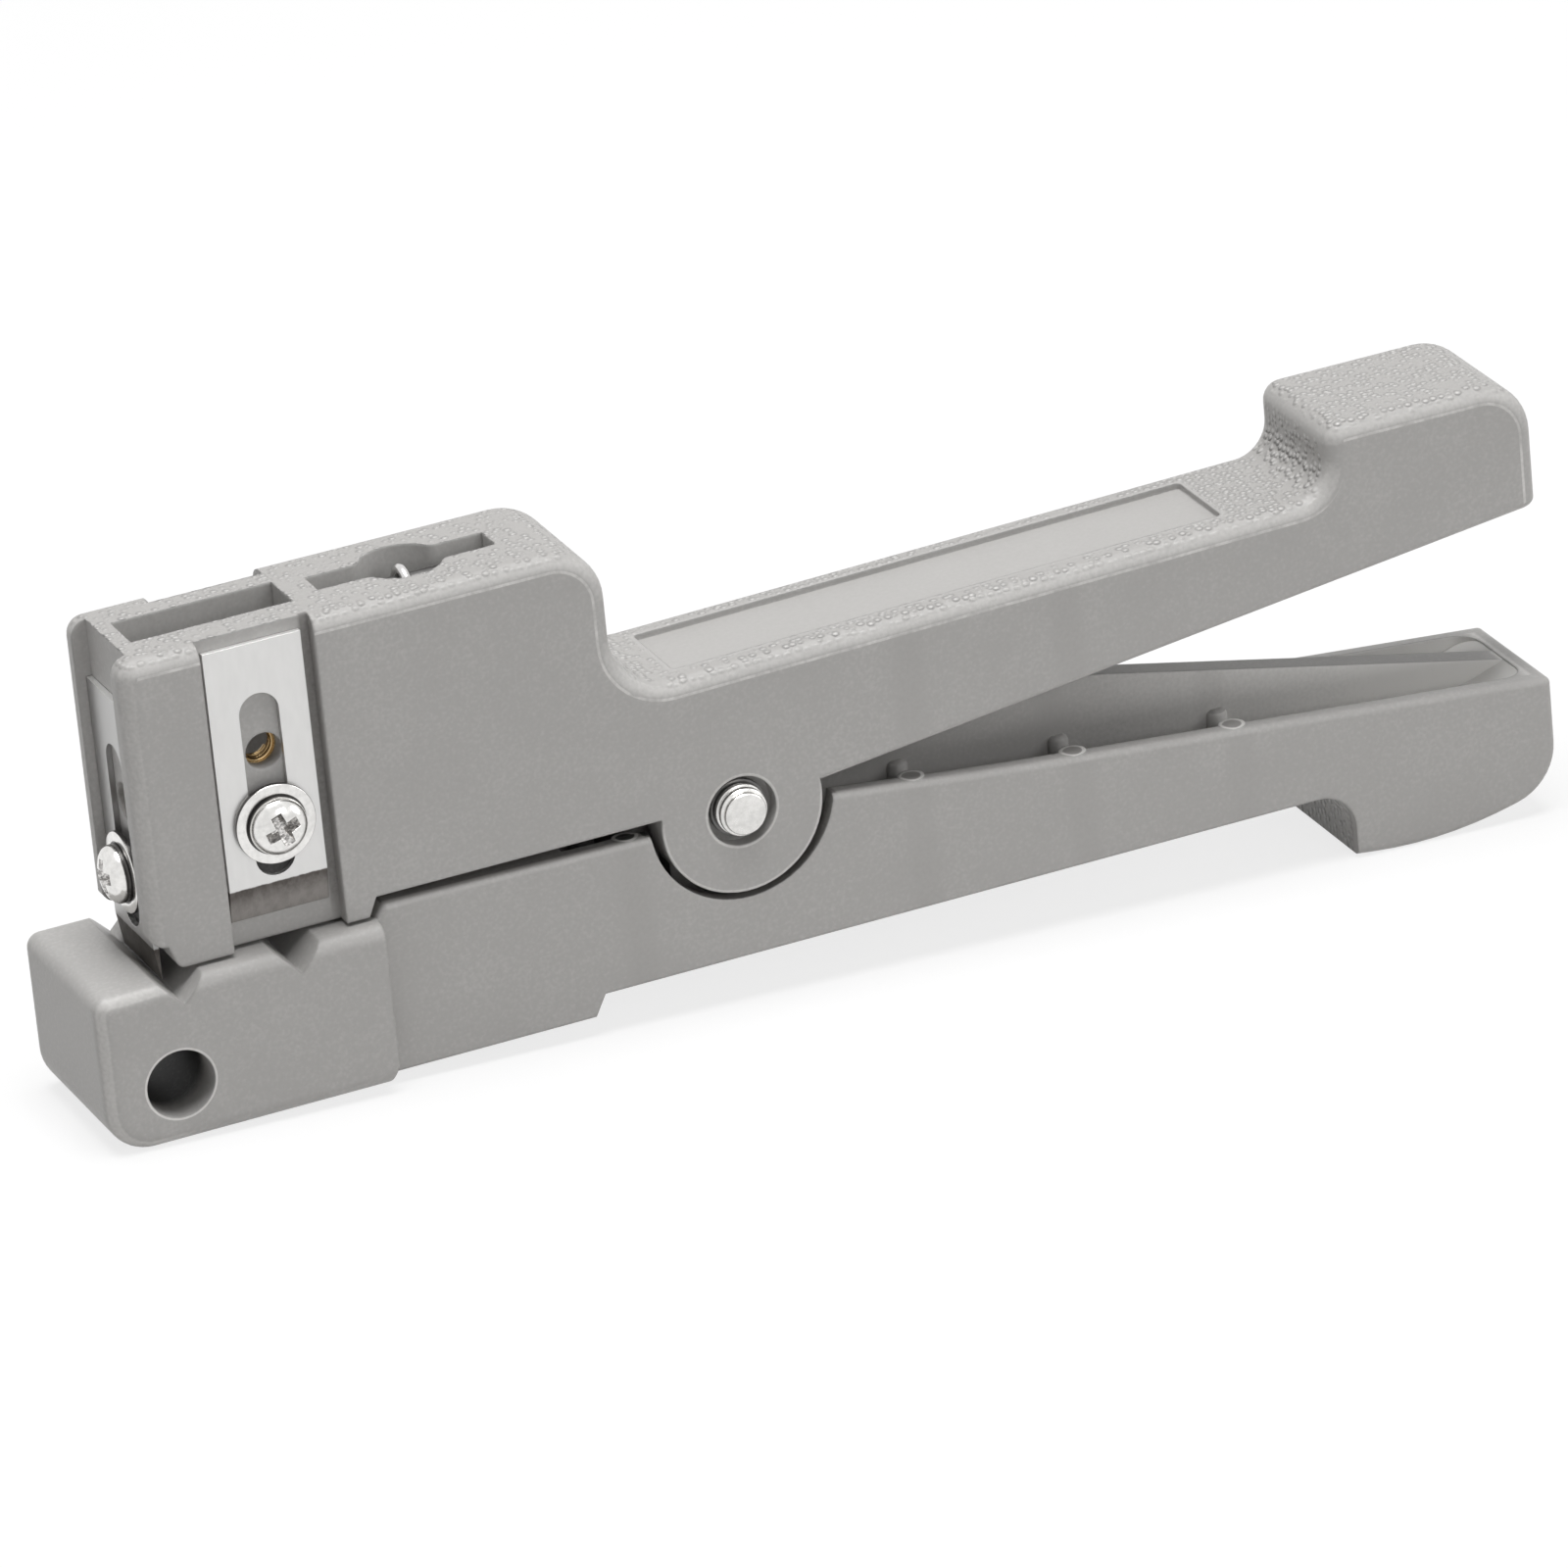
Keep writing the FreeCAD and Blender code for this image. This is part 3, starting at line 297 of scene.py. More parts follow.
class Finish(Shading):
    """A procedural finish for pieces: one Principled surface and the nodes that vary it."""

    def __init__(self, name):
        self.material = bpy.data.materials.new(name)
        super().__init__(self.material)

    def place(self):
        """Object coordinates in millimetres from the hinge."""
        metres = self.node("ShaderNodeTexCoord", output="Object")
        scaled = self.node("ShaderNodeVectorMath", {"operation": "SCALE"}, {0: metres, "Scale": 1 / MM})
        return self.node("ShaderNodeVectorMath", {"operation": "SUBTRACT"}, {0: scaled, 1: PIVOT})

    def facing(self):
        """Which way the surface faces, in the piece's own axes."""
        return self.node("ShaderNodeTexCoord", output="Normal")

    def parts(self, vector):
        """The X, Y and Z parts of a vector."""
        return list(self.outputs_of("ShaderNodeSeparateXYZ", vector).values())

    def stretched(self, vector, scale):
        return self.node("ShaderNodeMapping", {"vector_type": "POINT"}, {"Vector": vector, "Scale": scale})

    def noise(self, vector, size, detail, roughness=0.5):
        """Noise about 0, with features of a size in millimetres."""
        inputs = {"Vector": vector, "Scale": 1 / size, "Detail": detail, "Roughness": roughness}
        return self.node("ShaderNodeTexNoise", None, inputs) - 0.5

    def pebbles(self, vector, size):
        """Height of rounded leather pebbles, from 0 in the valleys to 1 on top."""
        inputs = {"Vector": vector, "Scale": 1 / size, "Smoothness": 0.12, "Randomness": 0.6}
        from_middle = self.node("ShaderNodeTexVoronoi", {"feature": "SMOOTH_F1"}, inputs)
        return from_middle.rise(0.6, 0.15)

    def colours(self, factor, first, second):
        """The first colour where the factor is 0 and the second where it is 1."""
        inputs = {0: factor, 6: self.colour(first), 7: self.colour(second)}
        return self.node("ShaderNodeMix", {"data_type": "RGBA"}, inputs, output=2)

    @staticmethod
    def colour(value):
        return value if isinstance(value, Wire) else (*value, 1.0)

    def relief(self, height, depth_mm, edge_round_mm):
        """A bumped normal on corners that are eased by a small rounding."""
        eased = self.node("ShaderNodeBevel", {"samples": 6}, {"Radius": edge_round_mm * MM})
        inputs = {"Strength": 1.0, "Distance": depth_mm * MM, "Height": height, "Normal": eased}
        return self.node("ShaderNodeBump", None, inputs)

    def surface(self, **sockets):
        """Ends the tree in the Principled surface; names are its sockets with _ for spaces."""
        inputs = {name.replace("_", " "): value for name, value in sockets.items()}
        shader = self.node("ShaderNodeBsdfPrincipled", None, inputs)
        self.node("ShaderNodeOutputMaterial", None, {"Surface": shader})
        return self.material


def clad(piece, material):
    """Gives every material slot of a piece the same finish."""
    if not piece.data.materials:
        piece.data.materials.append(material)
    for slot in piece.material_slots:
        slot.material = material


def plastic_finish(name, grain_of, lights_of):
    """Moulded lever plastic: faint mottling, grain from grain_of with painted highlights on its pebbles'
    tops and painted shade in their valleys, and lights_of added to its tone.
    """
    finish = Finish(name)
    place = finish.place()
    across = finish.parts(place)
    facing = finish.parts(finish.facing())
    cloud = finish.noise(place, size=7.0, detail=3.0)
    grit = finish.noise(place, size=0.35, detail=3.0)
    ragged = finish.noise(place, size=2.2, detail=4.0, roughness=0.7)
    pebble = finish.pebbles(finish.stretched(place, (1.0, 1.2, 1.25)), PEBBLE_SIZE)
    grain = grain_of(across, facing)
    # The pebble term is painted light: pebble tops paler as painted highlight, valleys darker as painted
    # shade.
    mottling_and_pebble_shading = cloud * CLOUD_TONE + grit * GRIT_TONE + grain * (pebble - PEBBLE_MIDDLE) * PEBBLE_SHADING_TONE
    tone = mottling_and_pebble_shading + lights_of(across, facing, ragged)
    deep_shade = finish.colours((tone + 2).clamped(), PLASTIC_DEEP_SHADE, PLASTIC_SHADE)
    below = finish.colours((tone + 1).clamped(), deep_shade, PLASTIC_BASE)
    height = grain * pebble + grit * GRIT_HEIGHT + cloud * CLOUD_HEIGHT
    return finish.surface(
        Base_Color=finish.colours(tone.clamped(), below, PLASTIC_GLINT),
        Roughness=PLASTIC_ROUGHNESS + cloud * 0.1 - grain * pebble * 0.1,
        Normal=finish.relief(height, GRAIN_DEPTH, MOULD_EDGE_ROUND),
        Specular_IOR_Level=0.45,
    )


def upper_grain(place, facing):
    """Leather grain on the head's top, the hollow step, the handle's top and the grip."""
    x, y, z = place
    back, _, up = facing
    above_handle = z - (HANDLE_TOP_AT_PIVOT + x * HANDLE_TOP_SLOPE)
    head_top = z.rise(HEAD_TOP - 0.9, HEAD_TOP - 0.5)
    handle_top = x.rise(-17.0, -16.0) * above_handle.rise(-1.13, -0.53)
    tops = up.rise(0.55, 1.0) * (head_top + handle_top).clamped()
    step = x.within(STEP_SPAN, 2.5, 1.0) * back.rise(0.15, 0.5) * z.rise(STEP_FOOT_Z - 1.5, STEP_FOOT_Z)
    grip_front = x.within(GRIP_FRONT_SPAN, 2.0, 1.5) * (-back).rise(0.15, 0.5)
    grip_front = grip_front * z.rise(GRIP_FRONT_TOP + 1.7, GRIP_FRONT_TOP)
    middle = abs(y).rise(5.5, 5.0)
    panel = abs(y).rise(4.8, 4.1) * x.within(PANEL_SPAN, 0.4, 0.4) * above_handle.rise(1.67, 1.17)
    return (tops + middle * (step + grip_front)).clamped() * (1 - panel)


def seam_highlight_line(side, above, ragged):
    """The mould's parting line where a rounding meets a side face, painted pale as a thin highlight where
    the surface faces up or back.
    """
    line = side.rise(0.99990, 0.9985) * side.rise(0.982, 0.991)
    return line * above * (0.35 + ragged.rise(-0.15, 0.15) * 0.65)


def upper_lights(place, facing, ragged):
    """The parting line and the roundings painted pale as highlights, painted highlights along the ear's
    lower edge and round the pin's counterbore, and painted shade over the ejector posts.
    """
    x, y, z = place
    back, aside, up = facing
    side = abs(aside)
    above = up.rise(0.005, 0.03).larger(back.rise(0.02, 0.08)) * (1 - (-back).rise(0.03, 0.09))
    seam_highlight = seam_highlight_line(side, above, ragged) * abs(y).rise(5.8, 6.2)
    # Painted highlight on the roundings that face up, and on the roundings at the front of the head.
    rounding_highlight = side.rise(0.15, 0.6) * side.rise(0.995, 0.95) * (up.rise(0.0, 0.1) + x.rise(-44.0, -46.0))
    panel = abs(y).rise(4.4, 4.2) * x.within(PANEL_SPAN, 0.3, 0.3) * up.rise(0.8, 0.95)
    from_pin = distance(x, z)
    ear_rim_highlight = from_pin.band(EAR_RADIUS - 0.12, 0.05, 0.12) * z.rise(1.5, -1.0)
    rim_highlights = from_pin.band(COUNTERBORE_RADIUS + 0.1, 0.07, 0.12) + ear_rim_highlight
    # Bands of painted shade stand in for the sink marks over the ejector posts inside.
    sink_shade = sum(x.band(post_x, 0.5, 1.5) for post_x in EJECTOR_POSTS_X[:2])
    # Painted highlights on the parting line and the roundings, with the panel's tone.
    tone_marks = seam_highlight * SEAM_HIGHLIGHT_TONE + rounding_highlight.clamped() * ROUNDING_HIGHLIGHT_TONE + panel * PANEL_TONE
    marks = side.rise(0.99, 0.999) * (rim_highlights * RIM_HIGHLIGHT_TONE + sink_shade * SINK_SHADE_TONE)
    return tone_marks + marks + head_hollow_light_and_shade(place, facing)


def head_hollow_light_and_shade(place, facing):
    """Painted light on the walls inside the head, painted shade in the slot ends under the washers, and
    painted shade beside the side blade.
    """
    x, y, z = place
    core = x.within(HEAD_CORE_SPAN, 0.3, 0.3)
    well = x.within(SPRING_WELL_SPAN, 0.4, 1.0)
    lit_walls = (core + well) * z.rise(14.0, 20.0) * abs(y).rise(4.9, 4.6) * facing[2].rise(0.6, 0.2)
    in_pocket = y.rise(POCKET_FLOOR_Y + 0.45, POCKET_FLOOR_Y + 0.25)
    side_end = x.band(RING_GROOVE_X, 1.7, 0.2) * in_pocket * z.band(SIDE_SLOT_END_Z, 1.0, 0.15)
    before_core = x.rise(HEAD_CORE_SPAN[0] - 1.1, HEAD_CORE_SPAN[0] - 1.3)
    front_end = abs(y).rise(1.9, 1.7) * before_core * z.band(FRONT_SLOT_END_Z, 1.0, 0.15)
    blade_gap = x.within(BLADE_GAP_SPAN, 0.3, 0.2) * in_pocket * y.rise(-6.7, -6.0) * z.rise(-1.0, 2.0)
    return lit_walls * HEAD_WALL_LIGHT_TONE + (side_end + front_end) * SLOT_END_SHADE_TONE + blade_gap * BLADE_GAP_SHADE_TONE


def lower_grain(place, facing):
    """The lower lever is smooth but for the inside of its finger hook."""
    x, y, z = place
    inside = x.within((HOOK_INSIDE_SPAN[0] + 0.5, HOOK_INSIDE_SPAN[1]), 1.5, 1.5)
    below = z.rise(HOOK_INSIDE_TOP, HOOK_INSIDE_TOP - 1.0)
    return inside * below * (-facing[0]).rise(0.1, 0.4) * abs(y).rise(6.2, 5.6)


def lower_lights(place, facing, _ragged):
    """Sink marks over the ejector posts as bands of painted shade, painted highlight rings on the posts'
    tops, and the painted light and shade of the jaw and the hollows.
    """
    x, y, z = place
    _, aside, up = facing
    rings = 0.0
    sink_shade = 0.0
    for post_x in (FRONT_EJECTOR_POST_X, *EJECTOR_POSTS_X):
        from_axis = distance(x - post_x, abs(y) - CHANNEL_WALL_Y)
        # A painted highlight ring round the edge of each post's top, its middle a little darker.
        rings = rings + from_axis.band(1.0, 0.1, 0.1) - from_axis.rise(0.85, 0.7) * 0.5
        sink_shade = sink_shade + x.band(post_x, 0.5, 1.5)
    post_tops = up.rise(0.8, 0.95) * z.rise(-12.0, -10.0)
    marks = rings * post_tops * POST_RING_HIGHLIGHT_TONE + sink_shade * abs(aside).rise(0.97, 0.995) * SINK_SHADE_TONE
    return marks + jaw_light_and_shade(place, facing) + lower_hollow_light_and_shade(place, facing)


def jaw_light_and_shade(place, facing):
    """Painted highlights on the jaw block's corners and on the hang hole's lip, and painted shade inside
    the hang hole.
    """
    x, y, z = place
    side = abs(facing[1])
    from_hole = distance(x - HANG_HOLE_X, z - HANG_HOLE_Z)
    bore = from_hole.rise(HANG_HOLE_RADIUS + 0.3, HANG_HOLE_RADIUS + 0.05) * abs(y).rise(7.8, 4.5)
    lip = from_hole.band(HANG_HOLE_RADIUS + 0.1, 0.06, 0.08) * side.rise(0.97, 0.995)
    corner = side.rise(0.3, 0.6) * side.rise(0.97, 0.9) * x.rise(-50.0, -54.0)
    return corner * JAW_CORNER_HIGHLIGHT_TONE + lip * HOLE_LIP_HIGHLIGHT_TONE + bore * HANG_HOLE_SHADE_TONE


def lower_hollow_light_and_shade(place, facing):
    """Painted light in the channel, and painted shade inside the hook, under the head and in the notch
    round the ear.
    """
    x, y, z = place
    _, aside, up = facing
    rising_floor = x.rise(59.0, 63.0) * z.rise(-7.4, -7.6)
    channel = x.rise(30.0, 64.0) * x.rise(CHANNEL_END_X + 0.65, CHANNEL_END_X + 0.15)
    channel = channel * abs(y).rise(CHANNEL_WALL_Y + 0.25, CHANNEL_WALL_Y + 0.05)
    channel = channel * up.rise(0.8, 0.4).larger(rising_floor)
    in_hook = x.within((HOOK_INSIDE_SPAN[0] - 0.5, HOOK_INSIDE_SPAN[1] + 0.5), 1.0, 1.5)
    in_hook = in_hook * z.rise(HOOK_INSIDE_TOP + 0.5, HOOK_INSIDE_TOP - 0.5) * abs(aside).rise(0.5, 0.2)
    under_head = x.within(UNDER_HEAD_SPAN, 1.0, 0.4) * abs(y).rise(6.3, 5.9) * z.rise(-5.5, -4.5)
    under_head = under_head * up.rise(0.5, 0.8)
    ear_notch = distance(x, z).rise(NOTCH_RADIUS + 0.55, NOTCH_RADIUS + 0.25) * z.rise(1.5, 0.5)
    ear_notch = ear_notch * abs(aside).rise(0.6, 0.3)
    shade = in_hook * HOOK_INSIDE_TONE + under_head * UNDER_HEAD_TONE + ear_notch * EAR_NOTCH_TONE
    return channel * CHANNEL_LIGHT_TONE + shade


def steel_finish(name, colour, roughness, darkest=0.82, line_scale=2.0):
    """Metal with fine drawn or ground lines and slight clouding."""
    finish = Finish(name)
    place = finish.place()
    lines = finish.noise(finish.stretched(place, (line_scale,) * 3), size=1.0, detail=3.0)
    cloud = finish.noise(place, size=2.5, detail=2.0)
    dark = tuple(part * darkest for part in colour)
    return finish.surface(
        Base_Color=finish.colours((lines * 0.6 + cloud * 0.4).rise(-0.2, 0.2), dark, colour),
        Metallic=1.0,
        Roughness=roughness + lines * 0.12 + cloud * 0.08,
        Normal=finish.relief(lines, depth_mm=0.004, edge_round_mm=0.06),
    )


def blade_finish(name, edge_z, brightness):
    """Satin blade steel with painted highlights on its up-facing cut edges and a dark ground bevel along
    its lower edge; a brightness below 1 mixes its faces towards BLADE_UNLIT as painted shade.
    """
    finish = Finish(name)
    place = finish.place()
    from_edge = finish.parts(place)[2] - edge_z
    rolled = finish.noise(finish.stretched(place, (1.6, 1.6, 0.5)), size=1.0, detail=3.0)
    stroke = finish.noise(finish.stretched(place, (1.2, 1.2, 0.8)), size=0.9, detail=5.0, roughness=0.65)
    ground = (from_edge + stroke * 0.25).rise(BEVEL_HEIGHT, BEVEL_HEIGHT - 0.15)
    cut_edge_highlight = finish.parts(finish.facing())[2].rise(0.6, 0.9) * (1 - ground)
    satin = finish.colours(rolled + 0.5, BLADE_FACE_DARK, BLADE_FACE_PALE)
    satin = finish.colours(1.0 - brightness, satin, BLADE_UNLIT)
    # The bevel grows paler towards its lower edge, streaked by the stroke noise.
    tone_marks = (stroke.rise(-0.2, 0.2) * 0.35 + from_edge.rise(BEVEL_HEIGHT, 0.8) * 0.75).clamped()
    bevel = finish.colours(tone_marks, BEVEL_DARK, BEVEL_PALE)
    return finish.surface(
        Base_Color=finish.colours(cut_edge_highlight, finish.colours(ground, satin, bevel), CUT_EDGE_HIGHLIGHT),
        Metallic=0.9,
        Roughness=0.36 + ground * 0.08 + rolled * 0.06,
        Normal=finish.relief(rolled * 0.4 + ground * (stroke + 0.5), depth_mm=0.004, edge_round_mm=0.05),
    )


def mesh_piece(name, build):
    """A new closed piece whose mesh is drawn by build(bm), with its faces turned outwards."""
    bm = bmesh.new()
    build(bm)
    bmesh.ops.remove_doubles(bm, verts=bm.verts, dist=1e-7)
    bmesh.ops.recalc_face_normals(bm, faces=bm.faces)
    mesh = bpy.data.meshes.new(name)
    bm.to_mesh(mesh)
    bm.free()
    piece = bpy.data.objects.new(name, mesh)
    bpy.context.scene.collection.objects.link(piece)
    return piece


def plain_mesh(holder):
    """The shape that an object's live modifiers or curve make, as a plain mesh."""
    bpy.context.view_layer.update()
    graph = bpy.context.evaluated_depsgraph_get()
    return bpy.data.meshes.new_from_object(holder.evaluated_get(graph))


def settled(piece, smooth_deg=30.0):
    """Turns a piece's live modifiers into plain mesh and smooths its gentle edges."""
    mesh = plain_mesh(piece)
    piece.modifiers.clear()
    piece.data = mesh
    mesh.shade_smooth()
    mesh.set_sharp_from_angle(angle=math.radians(smooth_deg))
    return piece


def eased(piece, width_mm, segments=2, angle_deg=35.0):
    """Rounds the piece's sharp edges in its mesh."""
    bevel = piece.modifiers.new("ease", "BEVEL")
    bevel.width = width_mm * MM
    bevel.segments = segments
    bevel.limit_method = "ANGLE"
    bevel.angle_limit = math.radians(angle_deg)
    return settled(piece)


def turned(bm, profile, stand, slices=64):
    """Adds a solid of revolution: closed (radius, height) profile in mm, stood by the stand matrix."""
    rings = []
    for radius, height in profile:
        count = slices if radius > 0 else 1
        ring = []
        for index in range(count):
            angle = 2 * math.pi * index / slices
            point = Vector((radius * math.cos(angle), radius * math.sin(angle), height)) * MM
            ring.append(bm.verts.new(stand @ point))
        rings.append(ring)
    for index, ring in enumerate(rings):
        following = rings[(index + 1) % len(rings)]
        if len(ring) == 1 and len(following) == 1:
            continue
        for turn in range(slices):
            ahead = (turn + 1) % slices
            corners = [ring[turn % len(ring)], ring[ahead % len(ring)]]
            corners += [following[ahead % len(following)], following[turn % len(following)]]
            bm.faces.new(list(dict.fromkeys(corners)))


def stood(foot_mm, axis, roll_deg=0.0):
    """Matrix that stands a piece drawn on Z at a foot point, along an axis."""
    turn = Vector(axis).to_track_quat("Z", "Y").to_matrix().to_4x4()
    roll = Matrix.Rotation(math.radians(roll_deg), 4, "Z")
    return Matrix.Translation(Vector(foot_mm) * MM) @ turn @ roll


def screw_profile():
    """Outline of a clamp screw: chamfered shank, flat underside, short rim and a full dome."""
    shank = [(0.0, -SHANK_LENGTH), (SHANK_RADIUS - SHANK_CHAMFER, -SHANK_LENGTH)]
    shank += [(SHANK_RADIUS, SHANK_CHAMFER - SHANK_LENGTH), (SHANK_RADIUS, 0.0), (SCREW_HEAD_RADIUS, 0.0)]
    dome = [(SCREW_HEAD_RADIUS, SCREW_HEAD_RIM), (2.44, 0.75), (2.28, 1.02), (1.98, 1.28)]
    dome += [(1.55, 1.49), (0.95, 1.64), (0.0, SCREW_HEAD_HEIGHT)]
    return shank + dome


def cross_cutter(bm, stand):
    """Adds the tapered cross that the driver's recess is cut with."""
    mouth = (SCREW_HEAD_HEIGHT + 0.4, 1.9, 0.6)
    floor = (SCREW_HEAD_HEIGHT - RECESS_DEPTH, 0.8, 0.3)
    loops = []
    for height, reach, half in (mouth, floor):
        loop = []
        for quarter in range(4):
            angle = math.pi / 2 * quarter
            for along, aside in ((half, half), (reach, half), (reach, -half)):
                x = along * math.cos(angle) + aside * math.sin(angle)
                y = along * math.sin(angle) - aside * math.cos(angle)
                loop.append(bm.verts.new(stand @ (Vector((x, y, height)) * MM)))
        loops.append(loop)
    walled(bm, *loops)


def walled(bm, first, second):
    """Closes two like loops of points into a solid: a face on each, and a wall between them."""
    bm.faces.new(first)
    bm.faces.new(second)
    for index in range(len(first)):
        ahead = (index + 1) % len(first)
        bm.faces.new((first[index], first[ahead], second[ahead], second[index]))


def repaint(piece, material, stand, wanted):
    """Gives a second finish to the faces that wanted picks by (radius, height) in mm on their stand."""
    piece.data.materials.append(material)
    drawn = stand.inverted()
    for face in piece.data.polygons:
        middle = drawn @ face.center / MM
        if wanted(math.hypot(middle.x, middle.y), middle.z):
            face.material_index = len(piece.data.materials) - 1


def clamp_screw(name, stand, bright, shade_finish, recess_shade):
    """Domed, cross-recessed screw with a turned shank, a pressed recess in mottled painted shade, and
    painted shade on its skirt.
    """
    screw = mesh_piece(name, lambda bm: turned(bm, screw_profile(), stand))
    cutter = mesh_piece("recess_cutter", lambda bm: cross_cutter(bm, stand))
    clad(screw, bright)
    clad(cutter, recess_shade)
    cut = screw.modifiers.new("recess", "BOOLEAN")
    cut.material_mode = "TRANSFER"
    cut.operation = "DIFFERENCE"
    cut.solver = "EXACT"
    cut.object = cutter
    settled(screw)
    bpy.data.objects.remove(cutter)
    eased(screw, 0.07)
    skirt = SCREW_HEAD_RADIUS - 0.08
    repaint(screw, shade_finish, stand, lambda radius, height: radius > skirt and height < SCREW_HEAD_RIM + 0.05)
    return screw


def clamp_washer(name, stand, bright, shade_finish):
    """Flat washer with rounded edges, with painted shade round its rim and where the screw's head shades
    it.
    """
    bore, rim, top = WASHER_BORE_RADIUS, WASHER_RADIUS, WASHER_THICKNESS
    under_head = SCREW_HEAD_RADIUS + 0.16
    profile = [(bore, 0.0), (rim, 0.0), (rim, top), (under_head, top), (bore, top)]
    washer = mesh_piece(name, lambda bm: turned(bm, profile, stand, slices=96))
    clad(washer, bright)
    eased(washer, 0.1, segments=3)
    shaded = SCREW_HEAD_RADIUS + 0.1
    repaint(washer, shade_finish, stand, lambda radius, height: radius > rim - 0.03 or radius < shaded)
    return washer


def collared_pin(name, centre_mm, half_length_mm, finish):
    """The pivot pin along Y: a plain shank, with a bevelled face and two turned collars at each end."""
    face, collar, neck, flange, shank = 1.88, 2.14, 2.02, 2.24, 1.99
    from_face = [(0.0, 0.0), (face - 0.14, 0.0), (face - 0.02, 0.1), (face, 0.45)]
    from_face += [(collar - 0.06, 0.5), (collar, 0.6), (collar, 0.9), (neck, 0.96), (neck, 1.15)]
    from_face += [(flange, 1.22), (flange, 1.6), (shank, 1.7)]
    far_end = [(radius, half_length_mm - depth) for radius, depth in from_face]
    near_end = [(radius, depth - half_length_mm) for radius, depth in reversed(from_face)]
    stand = stood(centre_mm, (0, 1, 0))
    pin = mesh_piece(name, lambda bm: turned(bm, far_end + near_end, stand, slices=72))
    clad(pin, finish)
    return eased(pin, 0.03, segments=1, angle_deg=25.0)


def spring_route(low_pin, high_pin):
    """Middle line of the draw spring: a hook under the low pin, a coil, and a hook over the high pin."""
    hook_steps = 12
    turn_steps = 20
    coil_steps = SPRING_TURNS * turn_steps
    coil_start = low_pin.z + SPRING_HOOK_LENGTH
    coil_rise = high_pin.z - low_pin.z - 2 * SPRING_HOOK_LENGTH

    def hook(pin, way):
        points = []
        for step in range(hook_steps + 1):
            angle = math.pi * step / hook_steps
            aside = SPRING_HOOK_RADIUS * math.cos(angle)
            points.append((pin.x, aside, pin.z + way * SPRING_HOOK_RADIUS * math.sin(angle)))
        return points

    coil = []
    for step in range(coil_steps + 1):
        angle = 2 * math.pi * step / turn_steps
        x = low_pin.x + SPRING_COIL_RADIUS * math.sin(angle)
        coil.append((x, -SPRING_COIL_RADIUS * math.cos(angle), coil_start + coil_rise * step / coil_steps))
    return hook(low_pin, -1) + coil + hook(high_pin, 1)[::-1]


def return_spring(name, low_pin, high_pin):
    """The draw spring as one round wire between its two pins."""
    route = spring_route(low_pin, high_pin)
    curve = bpy.data.curves.new(name, "CURVE")
    curve.dimensions = "3D"
    curve.bevel_depth = SPRING_WIRE_RADIUS * MM
    curve.bevel_resolution = 3
    curve.use_fill_caps = True
    spline = curve.splines.new("POLY")
    spline.points.add(len(route) - 1)
    for point, (x, y, z) in zip(spline.points, route):
        point.co = (x * MM, y * MM, z * MM, 1.0)
    holder = bpy.data.objects.new(name + "_line", curve)
    bpy.context.scene.collection.objects.link(holder)
    mesh = plain_mesh(holder)
    bpy.data.objects.remove(holder)
    mesh.shade_smooth()
    spring = bpy.data.objects.new(name, mesh)
    bpy.context.scene.collection.objects.link(spring)
    return spring


def thread_tree():
    """Geometry nodes that sweep a small ridge along a screw line."""
    group = bpy.data.node_groups.new("thread_ridge", "GeometryNodeTree")
    sizes = [(label, "INPUT", "NodeSocketFloat") for label in ("Radius", "Pitch", "Turns", "Ridge")]
    ends = [("Finish", "INPUT", "NodeSocketMaterial"), ("Geometry", "OUTPUT", "NodeSocketGeometry")]
    for label, direction, kind in sizes + ends:
        group.interface.new_socket(name=label, in_out=direction, socket_type=kind)
    tree = NodeTree(group)
    given = tree.outputs_of("NodeGroupInput")
    height = given["Pitch"] * given["Turns"]
    spiral_inputs = {"Resolution": 32, "Rotations": given["Turns"], "Height": height}
    spiral_inputs |= {"Start Radius": given["Radius"], "End Radius": given["Radius"]}
    spiral = tree.node("GeometryNodeCurveSpiral", None, spiral_inputs)
    ridge_inputs = {"Resolution": 4, "Radius": given["Ridge"]}
    ridge = tree.node("GeometryNodeCurvePrimitiveCircle", None, ridge_inputs)
    sweep_inputs = {"Curve": spiral, "Profile Curve": ridge, "Fill Caps": True}
    sweep = tree.node("GeometryNodeCurveToMesh", None, sweep_inputs)
    real = tree.node("GeometryNodeRealizeInstances", None, {0: sweep})
    paint_inputs = {"Geometry": real, "Material": given["Finish"]}
    painted = tree.node("GeometryNodeSetMaterial", None, paint_inputs)
    tree.node("NodeGroupOutput", None, {"Geometry": painted})
    return group


def insert_thread(group, name, stand, material):
    """The swept thread of one insert as a plain mesh, stood in its place."""
    thread = bpy.data.objects.new(name, bpy.data.meshes.new(name))
    bpy.context.scene.collection.objects.link(thread)
    modifier = thread.modifiers.new("thread", "NODES")
    modifier.node_group = group
    sizes = {"Radius": THREAD_RADIUS * MM, "Pitch": THREAD_PITCH * MM, "Ridge": THREAD_RIDGE * MM}
    given = {**sizes, "Turns": THREAD_TURNS, "Finish": material}
    for item in group.interface.items_tree:
        if item.in_out == "INPUT":
            modifier[item.identifier] = given[item.name]
    mesh = plain_mesh(thread)
    thread.modifiers.clear()
    mesh.transform(stand)
    thread.data = mesh
    return thread


